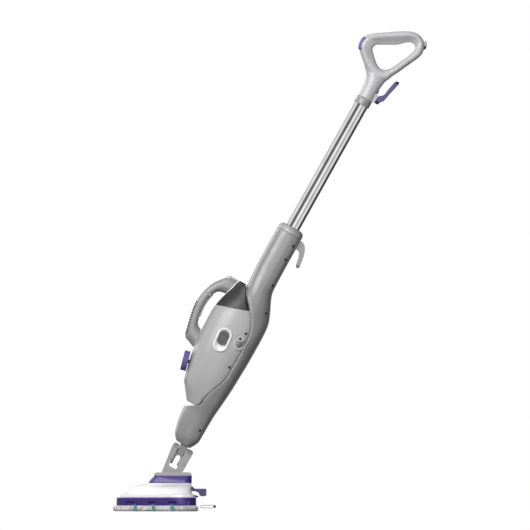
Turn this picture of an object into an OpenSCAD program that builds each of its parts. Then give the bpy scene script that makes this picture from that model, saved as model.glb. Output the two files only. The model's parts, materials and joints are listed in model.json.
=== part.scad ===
// Steam mop: triangular floor head, two-axis joint, spine frame with a docked handheld steamer,
// bright steel tube and D-shaped hand grip. Front of the mop is -X, the user's side is +X.
// The origin is on the floor, straight below the pitch axle of the joint.

/* [Pose] */
// lean of the frame away from upright, in degrees
lean = 29.2; // [0:0.1:60]

/* [Floor head] */
// height of the pitch axle above the floor
pivot_z = 75; // [60:1:90]
// corner radius of the purple sole
sole_corner_r = 34; // [25:1:45]
// front corner centre of the sole
sole_front_x = -85; // [-110:1:-60]
// rear corner centre of the sole
sole_rear_x = 26; // [10:1:45]
// rear corner centre, sideways
sole_half_y = 102; // [70:1:130]
// pad thickness
pad_t = 12.6; // [6:0.2:18]
// how far the pad stands out past the sole
pad_overhang = 9.5; // [0:0.5:15]
// underside of the sole
sole_z = 13.2; // [10:0.1:20]
// height of the sole band
sole_h = 18.6; // [12:0.1:26]

/* [Joint] */
// half width of the fork
fork_half_y = 18; // [12:0.5:24]
// roll axle height above the pitch axle
roll_w = 63; // [50:1:80]
// pitch axle radius
axle_r = 4; // [3:0.5:6]
// roll pin radius
roll_pin_r = 5; // [3:0.5:7]
// running clearance on the radius
running = 0.05; // [0.02:0.01:0.1]

/* [Tube] */
// outside radius of the steel tube
tube_r = 16; // [12:0.5:20]
// wall of the steel tube
tube_wall = 1; // [0.8:0.1:2]
// tube axis, measured rearward from the pivot line
tube_v = -33; // [-40:0.5:-20]
// lower end of the tube
tube_low = 566; // [540:1:600]
// upper end of the tube
tube_high = 1000; // [900:1:1060]

/* [Shells] */
// wall of the plastic shells
wall = 2.4; // [1.8:0.1:4]
// roundness of the shell sections, 2 is an ellipse
round_n = 2.4; // [2:0.1:4]
// gap between the handheld unit and the frame
dock_gap = 0.8; // [0.4:0.1:2]

/* [Handheld unit] */
// radius of the steam knob
knob_r = 22.7; // [15:0.1:30]
// thickness of the steam knob
knob_t = 13; // [8:0.5:20]
// bore of the mains lead gland
gland_bore_r = 3.8; // [3:0.1:5]

/* [Hand grip] */
// half thickness of the grip bar
grip_half_y = 15; // [12:0.5:20]

/* [Output] */
// sub-part to show

/* [Hidden] */
$fn = 96;
eps = 0.02;
long = 400;

white = [0.93, 0.93, 0.94];
silver = [0.80, 0.80, 0.82];
shell_grey = [0.66, 0.66, 0.67];
frame_grey = [0.45, 0.45, 0.46];
dark = [0.12, 0.12, 0.13];
purple = [0.27, 0.19, 0.48];
lilac = [0.42, 0.36, 0.66];
teal = [0.20, 0.52, 0.56];
steel = [0.72, 0.72, 0.74];
smoke = [0.25, 0.25, 0.26];

// ---------- curves and skins ----------

// index of the span of p that holds w
function span(w, p, i = 0) = (i >= len(p) - 2 || w < p[i + 1][0]) ? i : span(w, p, i + 1);

// slope of the smooth curve at point i
function slope(p, i) =
    let (a = max(i - 1, 0), b = min(i + 1, len(p) - 1))
    (p[b][1] - p[a][1]) / (p[b][0] - p[a][0]);

// smooth curve through the points p = [[position, value], ...]
function curve(w, p) =
    let (
        i = span(w, p),
        h = p[i + 1][0] - p[i][0],
        t = min(max((w - p[i][0]) / h, 0), 1)
    )
    p[i][1] * (2 * t * t * t - 3 * t * t + 1)
    + p[i + 1][1] * (3 * t * t - 2 * t * t * t)
    + h * slope(p, i) * (t * t * t - 2 * t * t + t)
    + h * slope(p, i + 1) * (t * t * t - t * t);

// point of a closed smooth curve through the points p, at u counted in points
function closed_point(u, p) =
    let (
        n = len(p),
        i = floor(u),
        t = u - i,
        a = p[(i + n - 1) % n],
        b = p[i % n],
        c = p[(i + 1) % n],
        d = p[(i + 2) % n]
    )
    0.5 * (2 * b + (c - a) * t + (2 * a - 5 * b + 4 * c - d) * t * t
        + (3 * b - a - 3 * c + d) * t * t * t);

// signed power, the two halves of a superellipse
function cs(a) = sign(cos(a)) * pow(abs(cos(a)), 2 / round_n);
function sn(a) = sign(sin(a)) * pow(abs(sin(a)), 2 / round_n);

function reversed(list) = [for (i = [len(list) - 1:-1:0]) list[i]];

// points of an arc in the plane, from angle a0 to angle a1 in n steps
function arc(x, y, r, a0, a1, n) = [
    for (i = [0:n])
        let (a = a0 + (a1 - a0) * i / n)
        [x + r * cos(a), y + r * sin(a)]
];

// side triangles between ring a and ring b of n points each
function band(a, b, n) = [
    for (j = [0:n - 1])
        each [
            [a * n + j, b * n + j, b * n + (j + 1) % n],
            [a * n + j, b * n + (j + 1) % n, a * n + (j + 1) % n]
        ]
];

// solid skinned over rings; ends are flat
module skin(rings) {
    n = len(rings[0]);
    m = len(rings);
    sides = [for (i = [0:m - 2]) each band(i, i + 1, n)];
    low = [for (j = [1:n - 2]) [0, j, j + 1]];
    high = [for (j = [1:n - 2]) [(m - 1) * n, (m - 1) * n + j + 1, (m - 1) * n + j]];
    polyhedron([for (r = rings) each r], concat(sides, low, high));
}

// solid skinned over C-shaped rings: first half of each ring outside, second half inside
module skin_shell(rings) {
    n = len(rings[0]);
    m = len(rings);
    k = n / 2;
    last = (m - 1) * n;
    sides = [for (i = [0:m - 2]) each band(i, i + 1, n)];
    low = [
        for (j = [0:k - 2])
            each [[j, j + 1, n - 2 - j], [j, n - 2 - j, n - 1 - j]]
    ];
    high = [
        for (j = [0:k - 2])
            each [[last + j, last + n - 2 - j, last + j + 1], [last + j, last + n - 1 - j, last + n - 2 - j]]
    ];
    polyhedron([for (r = rings) each r], concat(sides, low, high));
}

// ring-shaped solid skinned over rings that close on themselves
module skin_loop(rings) {
    n = len(rings[0]);
    m = len(rings);
    polyhedron([for (r = rings) each r], [for (i = [0:m - 1]) each band(i, (i + 1) % m, n)]);
}

// ---------- frames of reference ----------

// the frame's own upright axes: x rearward, z up along the mop, origin at the pitch axle
module leaning() {
    translate([0, 0, pivot_z]) rotate([0, lean, 0]) children();
}

// extrudes an outline drawn in (x, z) over the width y from -half to +half
module across(half) {
    rotate([90, 0, 0]) linear_extrude(2 * half, center = true) children();
}

// extrudes an outline drawn in (x, z) from y = from to y = to
module across_from(from, to) {
    translate([0, to, 0]) rotate([90, 0, 0]) linear_extrude(to - from) children();
}

// round bar along y between two y values
module bar_y(x, z, r, from, to) {
    translate([x, from, z]) rotate([-90, 0, 0]) cylinder(r = r, h = to - from);
}

// ---------- floor head ----------

// angle of the sloping sides of a rounded triangle
function side_angle(dx, dy) = atan2(dy, dx);

// flat rounded triangle with its apex at the front
module rounded_triangle(xf, xr, hy, r) {
    b = side_angle(xr - xf, hy);
    polygon(concat(
        arc(xr, hy, r, 0, 90 + b, 16),
        arc(xf, 0, r, 90 + b, 270 - b, 14),
        arc(xr, -hy, r, 270 - b, 360, 16)
    ));
}

// the sole outline grown by g
module sole_outline(g) {
    rounded_triangle(sole_front_x, sole_rear_x, sole_half_y, sole_corner_r + g);
}

// ring with four rounded corners, narrow end at the front:
// front x, rear x, front half width, rear half width, corner radius, height
function cover_ring(f, r, hf, hr, c, z) =
    let (
        b = side_angle(r - f - 2 * c, hr - hf),
        n = 5,
        flat = concat(
            arc(r - c, hr - c, c, 0, 90 + b, n),
            arc(f + c, hf - c, c, 90 + b, 180, n),
            arc(f + c, c - hf, c, 180, 270 - b, n),
            arc(r - c, c - hr, c, 270 - b, 360, n)
        )
    )
    [for (p = flat) [p[0], p[1], z]];

slot_x = [-88, -39.5, 5];
slot_l = 25;
slot_h = 5;
slot_mid_z = 20.5;
side_a = side_angle(sole_rear_x - sole_front_x, sole_half_y);

// places children on the sloping side of the sole at x, on side s, x along the side, y outwards
module on_side(x, s) {
    mirror([0, s < 0 ? 1 : 0, 0])
        translate([x, (x - sole_front_x) * tan(side_a) + sole_corner_r / cos(side_a), slot_mid_z])
            rotate([0, 0, side_a]) children();
}

module sole_plate() {
    inner = 3;
    rim = 14;
    floor_z = 2;
    color(purple)
        difference() {
            translate([0, 0, sole_z]) linear_extrude(sole_h) sole_outline(0);
            translate([0, 0, sole_z + floor_z + 2]) linear_extrude(sole_h) sole_outline(-inner);
            translate([0, 0, sole_z - 1]) linear_extrude(1 + floor_z) sole_outline(-rim);
            for (x = slot_x, s = [-1, 1])
                on_side(x, s) cube([slot_l, 8, slot_h], center = true);
            for (s = [-1, 1])
                bar_y(43.5, slot_mid_z, 3, s * 131 - 2, s * 131 + 2);
            for (p = head_screw_at)
                translate([p[0], p[1], 0]) cylinder(r = 2.2, h = 30);
            translate([hose_x, 0, 0]) cylinder(r = 5.1, h = 30);
        }
}

// head screws: x, y and top of the boss that takes the screw
head_screw_at = [[-62, 0, 58.9], [-10, 44, 59.5], [-10, -44, 59.5], [30, 66, 57.9], [30, -66, 57.9]];
boss_foot_z = sole_z + 4.05;
hose_x = -2;

module steam_plate() {
    gap = 0.3;
    color(frame_grey)
        difference() {
            translate([0, 0, sole_z + gap / 2]) linear_extrude(2 - gap) sole_outline(-14 - gap);
            for (row = [0:4], col = [-row:row])
                translate([-78 + row * 24, col * 17, 0]) cylinder(r = 1.6, h = 30);
            for (p = head_screw_at)
                translate([p[0], p[1], 0]) cylinder(r = 4, h = 30);
        }
}

// front, rear, front half width, rear half width, corner radius and height of the cover's sections
cover_rings = [
    [-110, 59, 35, 127, 32, 32.1], [-109.3, 58.6, 35, 126, 32, 36.6], [-107.5, 57, 34, 124, 31, 38.2],
    [-99, 50.5, 32, 113, 30, 40], [-95, 49.6, 32, 106, 29, 44], [-92, 49.3, 32, 98, 28, 49],
    [-87, 49.1, 32, 87, 26, 54], [-77, 49, 33, 74, 23, 57.5], [-62, 49, 34, 60, 19, 60.5],
    [-46, 49, 35, 48, 15, 64]
];
cover_top = 64;

module head_cover() {
    color(white)
        difference() {
            union() {
                skin(concat(
                    [
                        for (c = reversed(cover_rings))
                            let (z = min(c[5], cover_top - wall) - (c[5] < 33 ? 0 : 0.6))
                            cover_ring(c[0] + wall, c[1] - wall, c[2] - wall, c[3] - wall, c[4] - wall, z)
                    ],
                    [for (c = cover_rings) cover_ring(c[0], c[1], c[2], c[3], c[4], c[5])]
                ));
                for (p = head_screw_at)
                    translate([p[0], p[1], boss_foot_z]) cylinder(r = 4, h = p[2] - boss_foot_z);
                for (s = [31.5, -36])
                    across_from(s, s + 4.5) {
                        translate([pedal_x, pedal_z]) circle(4.5);
                        translate([pedal_x, pedal_z - 4]) square([6, 8]);
                    }
            }
            translate([-28.9, -25.3, 50]) cube([73.2, 50.6, 30]);
            translate([40, -31, 44.6]) cube([20, 62, 14.4]);
            for (p = head_screw_at)
                translate([p[0], p[1], 10]) cylinder(r = 1.6, h = 24);
            bar_y(pedal_x, pedal_z, pedal_pin_r, -long, long);
        }
}

trim_rings = [
    [-46, 49.8, 35, 46, 15, 64.1], [-45.6, 50, 34.8, 45.6, 15, 66.5], [-43.5, 50, 34, 44, 14, 70.5],
    [-40, 50, 33, 42, 13, 74.5], [-35.8, 50, 32, 39.5, 12, 78.2], [-32.3, 50, 31, 37.5, 10, 80.2]
];
slot_floor_z = 66.6;
slot_half_y = fork_half_y + 0.8;

module head_trim() {
    color(purple)
        difference() {
            skin([for (c = trim_rings) cover_ring(c[0], c[1], c[2], c[3], c[4], c[5])]);
            translate([-28.9, -27.3, 60]) cube([75.7, 54.6, 30]);
            translate([20, -slot_half_y, slot_floor_z]) cube([40, 2 * slot_half_y, 30]);
        }
}

module neck_collar() {
    color(frame_grey)
        difference() {
            union() {
                across(25) polygon([[-28.5, 56], [44, 56], [44, 70], [-28.5, 70]]);
                across(27) polygon([[-28.5, 68], [46.5, 68], [46.5, 82], [-28.5, 82]]);
                across(27)
                    polygon(concat(
                        [[-35, 80.4], [50, 80.4]],
                        arc(43.5, 81.5, 6.5, 0, 90, 8),
                        arc(-28.5, 81.5, 6.5, 90, 180, 8)
                    ));
            }
            translate([-25.4, -slot_half_y, 58.5]) cube([48, 2 * slot_half_y, 40]);
            translate([20, -slot_half_y, slot_floor_z]) cube([40, 2 * slot_half_y, 40]);
            bar_y(0, pivot_z, axle_r, -23, 23);
            translate([hose_x, 0, 50]) cylinder(r = 4.1, h = 12);
        }
}

module vent_inserts() {
    gap = 0.1;
    color(dark)
        for (x = slot_x, s = [-1, 1])
            on_side(x, s)
                difference() {
                    translate([0, -2.2, 0]) cube([slot_l - gap, 1.4, slot_h - gap], center = true);
                    for (i = [-2:2])
                        translate([i * 4.4, -1.4, 0]) cube([2, 1, slot_h - 2], center = true);
                }
}

stripe_x = [-77.5, -36, 6];
stripe_w = 6.4;
stripe_fit = 0.05;
// height of the turned-up ends of the bands above the pad
stripe_rise = 3.2;

module pad_outline(g) {
    translate([-2, 0]) sole_outline(pad_overhang + g);
}

module microfibre_pad() {
    deep = 1.2;
    color([0.85, 0.85, 0.85])
        difference() {
            linear_extrude(pad_t) pad_outline(0);
            for (x = stripe_x)
                difference() {
                    translate([x - stripe_w / 2 - stripe_fit, -long, -1])
                        cube([stripe_w + 2 * stripe_fit, 2 * long, pad_t + 2]);
                    translate([0, 0, deep]) linear_extrude(pad_t) pad_outline(-deep);
                }
        }
}

module pad_stripes() {
    deep = 1.15;
    color(teal)
        for (x = stripe_x)
            difference() {
                intersection() {
                    linear_extrude(pad_t + stripe_rise) pad_outline(0.8);
                    translate([x - stripe_w / 2, -long, 0]) cube([stripe_w, 2 * long, pad_t + stripe_rise]);
                }
                translate([0, 0, deep]) linear_extrude(pad_t + stripe_rise) pad_outline(-deep);
            }
}

loop_end_x = 100;
loop_half_y = 11;

module pull_loop() {
    x0 = sole_rear_x + sole_corner_r + pad_overhang - 2 + 0.05;
    t = 1.3;
    color(white)
        across(loop_half_y)
            difference() {
                polygon([[x0, 8], [loop_end_x, 8], [loop_end_x, 14.5], [x0 + 6, 14.8], [x0, 12.4]]);
                polygon([
                    [x0 + 2, 8 + t], [loop_end_x - t, 8 + t], [loop_end_x - t, 13.2], [x0 + 6, 13.4], [x0 + 2, 11.8]
                ]);
            }
}

module loop_tip() {
    color(dark)
        across(loop_half_y + 0.6)
            difference() {
                union() {
                    translate([loop_end_x + 0.05, 7.6]) square([2.2, 7.3]);
                    translate([loop_end_x + 2.2, 11.25]) circle(2.6);
                }
                translate([loop_end_x - 5, 5]) square([5.05, 12]);
            }
}

pedal_x = 42;
pedal_z = 51.6;
pedal_half_y = 30;
pedal_pin_r = 2.5;

module foot_pedal() {
    color(purple)
        difference() {
            union() {
                across(pedal_half_y)
                    polygon([
                        [44, 55.5], [51, 57], [54, 54], [58, 51.3], [81.5, 51.3], [83, 49.8], [83, 37],
                        [81.5, 35], [72, 34], [67, 37], [67, 41], [60, 45.3], [47, 46], [44, 47.5]
                    ]);
                bar_y(pedal_x, pedal_z, 5, -pedal_half_y, pedal_half_y);
                across(pedal_half_y)
                    polygon([[pedal_x, pedal_z + 5], [45, 56], [45, 47], [pedal_x, pedal_z - 5]]);
            }
            bar_y(pedal_x, pedal_z, pedal_pin_r + running, -long, long);
            for (s = [-2:2])
                translate([70, s * 11 - 2, 50.5]) cube([9, 4, 2]);
            translate([30, -26, 30]) cube([23.5, 52, 40]);
            translate([70, -26, 30]) cube([10, 52, 17]);
        }
}

module pedal_pin() {
    color(steel) bar_y(pedal_x, pedal_z, pedal_pin_r, -36, 36);
}

// torsion spring round the pin, one leg under the pedal, the other under the collar
module pedal_spring() {
    half = 12;
    coil_r = 3.8;
    wire = 0.8;
    color(steel) {
        difference() {
            bar_y(pedal_x, pedal_z, coil_r, -half, half);
            bar_y(pedal_x, pedal_z, pedal_pin_r + 0.1, -long, long);
            for (i = [-5:5])
                difference() {
                    bar_y(pedal_x, pedal_z, coil_r + 1, 2 * i - 0.25, 2 * i + 0.25);
                    bar_y(pedal_x, pedal_z, coil_r - 0.6, -long, long);
                }
        }
        across_from(half - wire, half)
            translate([33, pedal_z + coil_r - wire / 2]) square([pedal_x - 33, wire]);
        across_from(-half, wire - half)
            translate([pedal_x, pedal_z - coil_r]) square([10.6, wire]);
    }
}

module rear_bumper() {
    color(dark)
        difference() {
            across(24) polygon([[59.05, 31.9], [64.6, 31.9], [64.6, 34.6], [63.6, 35.6], [59.05, 36.4]]);
            for (s = [-1:1])
                translate([58, s * 14 - 1, 31]) cube([3, 2, 2]);
        }
}

module head_screws() {
    color(steel)
        for (p = head_screw_at)
            translate([p[0], p[1], 0]) {
                translate([0, 0, sole_z + 0.3]) cylinder(r = 3.6, h = 1.65);
                translate([0, 0, sole_z + 0.3]) cylinder(r = 1.55, h = 19);
            }
}

module pitch_axle() {
    color(steel)
        difference() {
            bar_y(0, pivot_z, axle_r, -22.9, 22.9);
            bar_y(0, pivot_z, 1.5, -30, 30);
        }
}

module head_hose() {
    color(dark)
        difference() {
            translate([hose_x, 0, sole_z + 2.1]) cylinder(r = 4, h = 43.1);
            translate([hose_x, 0, 0]) cylinder(r = 2.5, h = 100);
        }
}

// ---------- joint ----------

arm_front = -30;
arm_rear = 19;
gap_front = -16.3;
gap_rear = 3.3;
arm_round_r = 15.6;

module swivel_fork() {
    color(frame_grey)
        leaning()
            difference() {
                intersection() {
                    across(fork_half_y)
                        polygon(concat(
                            arc(0, 0, 14, -140, 10, 14),
                            [[arm_rear, 28]],
                            arc(arm_rear - 5, 73.5, 5, 0, 90, 6),
                            arc(gap_rear + 3, 75.5, 3, 90, 180, 4),
                            arc(gap_rear - 4, 28, 4, 0, -90, 5),
                            arc(gap_front + 4, 28, 4, -90, -180, 5),
                            arc(gap_front - 2.5, 75, 2.5, 0, 90, 4),
                            arc(arm_front + 6, 71.5, 6, 90, 180, 6),
                            [[-30, 64], [-22, 5]]
                        ));
                    translate([-60, 0, 0]) rotate([90, 0, 90]) linear_extrude(120)
                        polygon(concat(
                            [[-fork_half_y, -20], [fork_half_y, -20], [fork_half_y, 38], [arm_round_r, 46]],
                            arc(0, roll_w, arm_round_r, 0, 180, 20),
                            [[-arm_round_r, 46], [-fork_half_y, 38]]
                        ));
                }
                bar_y(0, 0, axle_r + running, -long, long);
                translate([-26, 0, roll_w]) rotate([0, 90, 0]) cylinder(r = roll_pin_r, h = 41);
            }
}

module roll_pin() {
    color(steel)
        leaning()
            difference() {
                translate([-25.9, 0, roll_w]) rotate([0, 90, 0]) cylinder(r = roll_pin_r, h = 40.8);
                translate([-30, 0, roll_w]) rotate([0, 90, 0]) cylinder(r = 2, h = 60);
            }
}

module swivel_tongue() {
    front = -15.7;
    rear = 2.7;
    color(frame_grey)
        leaning()
            difference() {
                union() {
                    intersection() {
                        across(11)
                            polygon(concat(
                                [[rear, 33], [rear, 84], [front, 84], [front, 31], [-11.4, 31]],
                                arc(-5.9, 50, 5.5, 180, 0, 10),
                                [[-0.4, 33]]
                            ));
                        translate([-60, 0, 0]) rotate([90, 0, 90]) linear_extrude(120)
                            polygon(concat(arc(0, 40, 10.4, 180, 360, 14), [[10.4, 90], [-10.4, 90]]));
                    }
                    translate([front, -10.4, 80]) cube([rear - front, 20.8, 12]);
                    translate([-19, -13, 90]) cube([24, 26, 26]);
                }
                translate([-60, 0, roll_w]) rotate([0, 90, 0]) cylinder(r = roll_pin_r + running, h = 120);
                translate([-7, 0, roll_w]) cylinder(r = 3.5, h = 100);
            }
}

// ---------- frame ----------

// front edge of frame and unit together, seen from the side
front_edge = [
    [81, -25], [84, -30.5], [93, -37.5], [100, -41], [115, -45], [130, -48], [148, -50], [162, -50.3],
    [171, -52], [180, -57.5], [199, -72], [212, -79], [225, -82.5], [250, -88], [275, -93],
    [300, -97.5], [325, -100], [350, -101.3], [380, -101.3], [395, -99.3], [410, -96], [425, -91.4],
    [445, -84.3], [463, -80.5]
];
// front edge of the frame above the unit
spine_front = [
    [395, -99.3], [416, -91], [430, -80], [445, -69], [458, -61.5], [470, -59.9], [485, -60.9],
    [510, -62], [550, -62.8], [612, -63.4]
];
rear_edge = [
    [81, 7], [86, 10], [93, 14], [100, 17.3], [110, 18.5], [140, 19], [170, 20], [200, 23], [235, 26],
    [270, 27.5], [310, 29], [375, 29], [400, 27.5], [415, 24.5], [432, 18], [445, 12], [460, 5],
    [473, 0.3], [485, -1.4], [520, -2.4], [612, -2.7]
];
half_width = [
    [81, 18], [86, 21.5], [93, 25], [100, 27], [130, 31], [160, 35], [200, 44], [250, 51.5], [320, 55],
    [380, 53], [416, 48], [440, 43], [463, 38], [490, 33], [530, 31], [612, 30.3]
];
// line along which the unit meets the frame
dock_line = [
    [81, -80], [157, -53], [162, -44], [168, -35], [173, -27], [177, -21], [190, -19], [205, -15],
    [220, -10], [235, -3], [250, 2], [265, 5], [340, 5], [360, 3], [378, 0], [390, -5], [403, -12],
    [416, -24], [427, -33], [442, -47], [455, -56], [465, -60.5], [480, -70], [612, -90]
];

function body_front(w, frame) = (frame && w > 395) ? curve(w, spine_front) : curve(w, front_edge);

// centre, half length and half width of the body's section at height w
function body_size(w, frame) =
    let (f = body_front(w, frame), r = curve(w, rear_edge))
    [(f + r) / 2, (r - f) / 2, curve(w, half_width)];

// point of the body's section at height w and angle a, set in by t, kept between lo and hi
function body_point(w, a, t, lo, hi, frame) =
    let (s = body_size(w, frame), v = s[0] - (s[1] - t) * cs(a))
    [min(max(v, lo + t), hi - t), -(s[2] - t) * sn(a), w];

// angle at which a section crosses the plane x = s, with the section's centre c and half length h
function cross_angle(s, c, h) =
    let (q = (c - s) / h)
    q >= 1 ? 0 : q <= -1 ? 180 : acos(sign(q) * pow(abs(q), round_n / 2));

// half width of the body at rearward position v and height w
function skin_y(v, w, frame) =
    let (s = body_size(w, frame))
    s[2] * pow(1 - pow(min(abs(v - s[0]) / s[1], 1), round_n), 1 / round_n);

arc_steps = 11;
face_steps = 4;
section_steps = arc_steps + face_steps;

face_from = 32;

// half ring of the frame: flat dock face first, then the outside
function frame_half(w, t) =
    let (
        lo = lookup(w, dock_line),
        s = body_size(w, true),
        cut = cross_angle(lo + t, s[0], s[1] - t),
        a = max(face_from, cut),
        edge = body_point(w, a, t, lo, 1000, true)[1],
        face = [
            for (j = [0:face_steps - 1])
                cut > face_from
                ? [lo + t, edge * j / face_steps, w]
                : body_point(w, a * j / face_steps, t, lo, 1000, true)
        ],
        outside = [
            for (j = [0:arc_steps])
                body_point(w, a + (180 - a) * j / arc_steps, t, lo, 1000, true)
        ]
    )
    concat(face, outside);

frame_w = [
    81, 84, 88, 93, 100, 112, 130, 148, 157, 162, 168, 173, 177, 190, 205, 220, 235, 250, 268, 300,
    340, 360, 378, 391, 403, 416, 428, 440, 452, 462, 472, 486, 515, 560, 612
];

screw_head_r = 2.9;
screw_r = 1.5;
screw_boss_r = 4;

screw_recess = 2.5;

// side screw positions with the height of the boss under the skin: x, z, half width
function screw_spot(v, w, frame) = [v, w, skin_y(v + 3, w, frame) - 0.8];

// side screws of the frame
frame_screw_at = [
    for (p = [[-11, 591], [-11, 556], [-8, 491], [9.5, 429], [8, 127]])
        screw_spot(p[0], p[1], true)
];

module screw_boss(p) {
    bar_y(p[0], p[1], screw_boss_r, -p[2], -eps);
}

module screw_hole(p) {
    bar_y(p[0], p[1], screw_r + 0.1, -long, 1);
    bar_y(p[0], p[1], screw_head_r + 0.4, -long, -p[2] + screw_recess + 3);
}

module frame_half_shell() {
    skin_shell([for (w = frame_w) concat(frame_half(w, 0), reversed(frame_half(w, wall)))]);
}

// axis of the steam dock, pointing down and rearward into the frame
dock_v = -24;
dock_w = 184;
module dock_axis() {
    translate([dock_v, 0, dock_w]) rotate([0, 135, 0]) children();
}

module frame_cuts() {
    dock_axis() translate([0, 0, -4]) cylinder(r = 9.6, h = 24);
    translate([-6, -9.1, 587.5]) cube([12, 18.2, 24]);
}

module frame_left() {
    color(frame_grey)
        leaning()
            difference() {
                union() {
                    frame_half_shell();
                    for (p = frame_screw_at)
                        screw_boss(p);
                }
                for (p = frame_screw_at)
                    screw_hole(p);
                frame_cuts();
            }
}

module frame_right() {
    color(frame_grey)
        leaning()
            difference() {
                union() {
                    mirror([0, 1, 0]) frame_half_shell();
                    for (p = frame_screw_at)
                        mirror([0, 1, 0]) screw_boss(p);
                }
                for (p = frame_screw_at)
                    bar_y(p[0], p[1], screw_r + 0.1, -1, p[2] - 4);
                frame_cuts();
            }
}

module socket_collar() {
    r = 30.2;
    color(frame_grey)
        leaning()
            translate([tube_v - 0.05, 0, 0])
                rotate_extrude()
                    difference() {
                        union() {
                            translate([tube_r + 0.1, 560]) square([1.4, 60]);
                            translate([tube_r + 0.1, 612.1]) square([r - tube_r - 0.1, 5]);
                            translate([tube_r + 0.1, 612.1]) square([r - tube_r - 11, 15.9]);
                            translate([r - 11, 617]) circle(11);
                        }
                        translate([0, 500]) square([tube_r + 0.1, 200]);
                        translate([tube_r + 1.5, 500]) square([r, 112.1]);
                        translate([r - 0.7, 616.6]) square([2, 0.8]);
                    }
}

module fixed_hook() {
    color(frame_grey)
        leaning()
            intersection() {
                across(9)
                    polygon([
                        [-5.2, 588.5], [-5.2, 610.5], [3, 609], [9, 606], [13, 601], [17, 593], [20, 583],
                        [22, 571], [23.6, 560], [23, 554.5], [20, 552.3], [17, 553], [14.6, 557],
                        [13, 566], [11, 576], [7.5, 584], [3, 588.5]
                    ]);
                translate([0, 0, 580]) rotate([0, 90, 0]) linear_extrude(60, center = true) {
                    circle(9);
                    translate([-40, -9]) square([40, 18]);
                    translate([19, 0]) circle(9);
                    translate([0, -9]) square([19, 18]);
                }
            }
}

module side_screws(list) {
    for (p = list)
        difference() {
            union() {
                bar_y(p[0], p[1], screw_head_r, screw_recess - p[2] + 0.8, screw_recess - p[2] + 2.98);
                bar_y(p[0], p[1], screw_r, screw_recess - p[2] + 0.8, p[2] - 5);
            }
            translate([p[0] - 2, screw_recess - p[2] + 0.2, p[1] - 0.4]) cube([4, 1.6, 0.8]);
            translate([p[0] - 0.4, screw_recess - p[2] + 0.2, p[1] - 2]) cube([0.8, 1.6, 4]);
        }
}

module frame_screws() {
    color(steel) leaning() side_screws(frame_screw_at);
}

// pipe from the dock down to the joint, with a cup for the dock seal
module steam_pipe() {
    elbow_w = 167;
    color(dark)
        leaning()
            difference() {
                union() {
                    translate([-7, 0, 116.2]) cylinder(r = 5, h = elbow_w - 116.2);
                    translate([-7, 0, elbow_w]) sphere(5.8);
                    translate([-7, 0, elbow_w]) rotate([0, -45, 0]) {
                        cylinder(r = 5, h = 8);
                        translate([0, 0, 6.8]) cylinder(r = 11.2, h = 5);
                    }
                }
                translate([-7, 0, 100]) cylinder(r = 3, h = elbow_w - 100);
                translate([-7, 0, elbow_w]) rotate([0, -45, 0]) {
                    cylinder(r = 3, h = 20);
                    translate([0, 0, 8.4]) cylinder(r = 9.45, h = 10);
                }
                translate([-7, 0, elbow_w]) sphere(3.4);
            }
}

module dock_seal() {
    color(dark)
        leaning()
            dock_axis()
                translate([0, 0, 11])
                    difference() {
                        cylinder(r = 9.4, h = 4.6);
                        translate([0, 0, -1]) cylinder(r = 7.5, h = 3.6);
                        translate([0, 0, -1]) cylinder(r = 4, h = 10);
                    }
}

module main_tube() {
    color(steel)
        leaning()
            difference() {
                translate([tube_v, 0, tube_low]) cylinder(r = tube_r, h = tube_high - tube_low);
                translate([tube_v, 0, tube_low - 1])
                    cylinder(r = tube_r - tube_wall, h = tube_high - tube_low + 2);
                translate([tube_v, 0, lock_w]) rotate([0, 90, 0]) cylinder(r = lock_hole_r, h = 30);
            }
}

// ---------- hand grip ----------

lock_w = 987;
lock_hole_r = 4.4;

// outer outline of the D loop, from the neck up the front, over the top and down the back
loop_out = [
    [-36, 1010], [-52, 1013.5], [-67, 1022.5], [-80, 1033.8], [-92, 1044.8], [-101, 1054], [-104.2, 1065],
    [-103, 1078], [-97.5, 1088.5], [-86, 1099], [-70, 1109.6], [-50, 1123], [-30, 1135.5], [-15, 1142.8],
    [0, 1145.4], [13, 1142], [23, 1134.5], [29, 1123], [30, 1108], [25, 1093], [16, 1074], [5, 1050.5],
    [-4, 1033], [-12, 1017]
];
// opening of the D loop, point for point
loop_in = [
    [-34, 1036.3], [-42, 1038], [-49, 1042.5], [-58, 1050.5], [-66, 1058.5], [-71.5, 1064.5], [-73, 1069.5],
    [-72, 1074], [-69.5, 1078.5], [-64, 1081.5], [-54, 1087], [-40, 1094.5], [-26, 1103.5], [-15, 1114],
    [-6, 1120.5], [2, 1121.3], [8, 1118], [11, 1112], [10, 1104], [6, 1092], [-1.5, 1076], [-9.5, 1059],
    [-17, 1046], [-25, 1038.5]
];

// depth of the scoop on the inside of the grip, as a share of its thickness, round the loop
scoop = [
    [0, 0], [2, 0.1], [3.5, 0.35], [5, 0.3], [6.2, 0.2], [7.5, 0.3], [9, 0.6], [13, 0.6], [15, 0.4],
    [16.8, 0], [24, 0]
];
scoop_start = 0.55;
scoop_reach = 1.3;

// share of the grip's thickness left at station u, x from 1 at its outer edge to -1 at the opening
function thinned(u, x) =
    let (t = min(max((scoop_start - x) / scoop_reach, 0), 1))
    1 - curve(u, scoop) * t * t * (3 - 2 * t);

grip_steps = 8;

// half ring of the loop at station u, set in by t
function loop_half(u, t) =
    let (
        o = closed_point(u, loop_out),
        i = closed_point(u, loop_in),
        c = (o + i) / 2,
        a = norm(o - i) / 2,
        d = (o - i) / norm(o - i)
    )
    [
        for (k = [0:grip_steps])
            let (g = 180 * k / grip_steps, p = c + d * (a - t) * cs(g))
            [p[0], -(grip_half_y * thinned(u, cs(g)) - t) * sn(g), p[1]]
    ];

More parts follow.
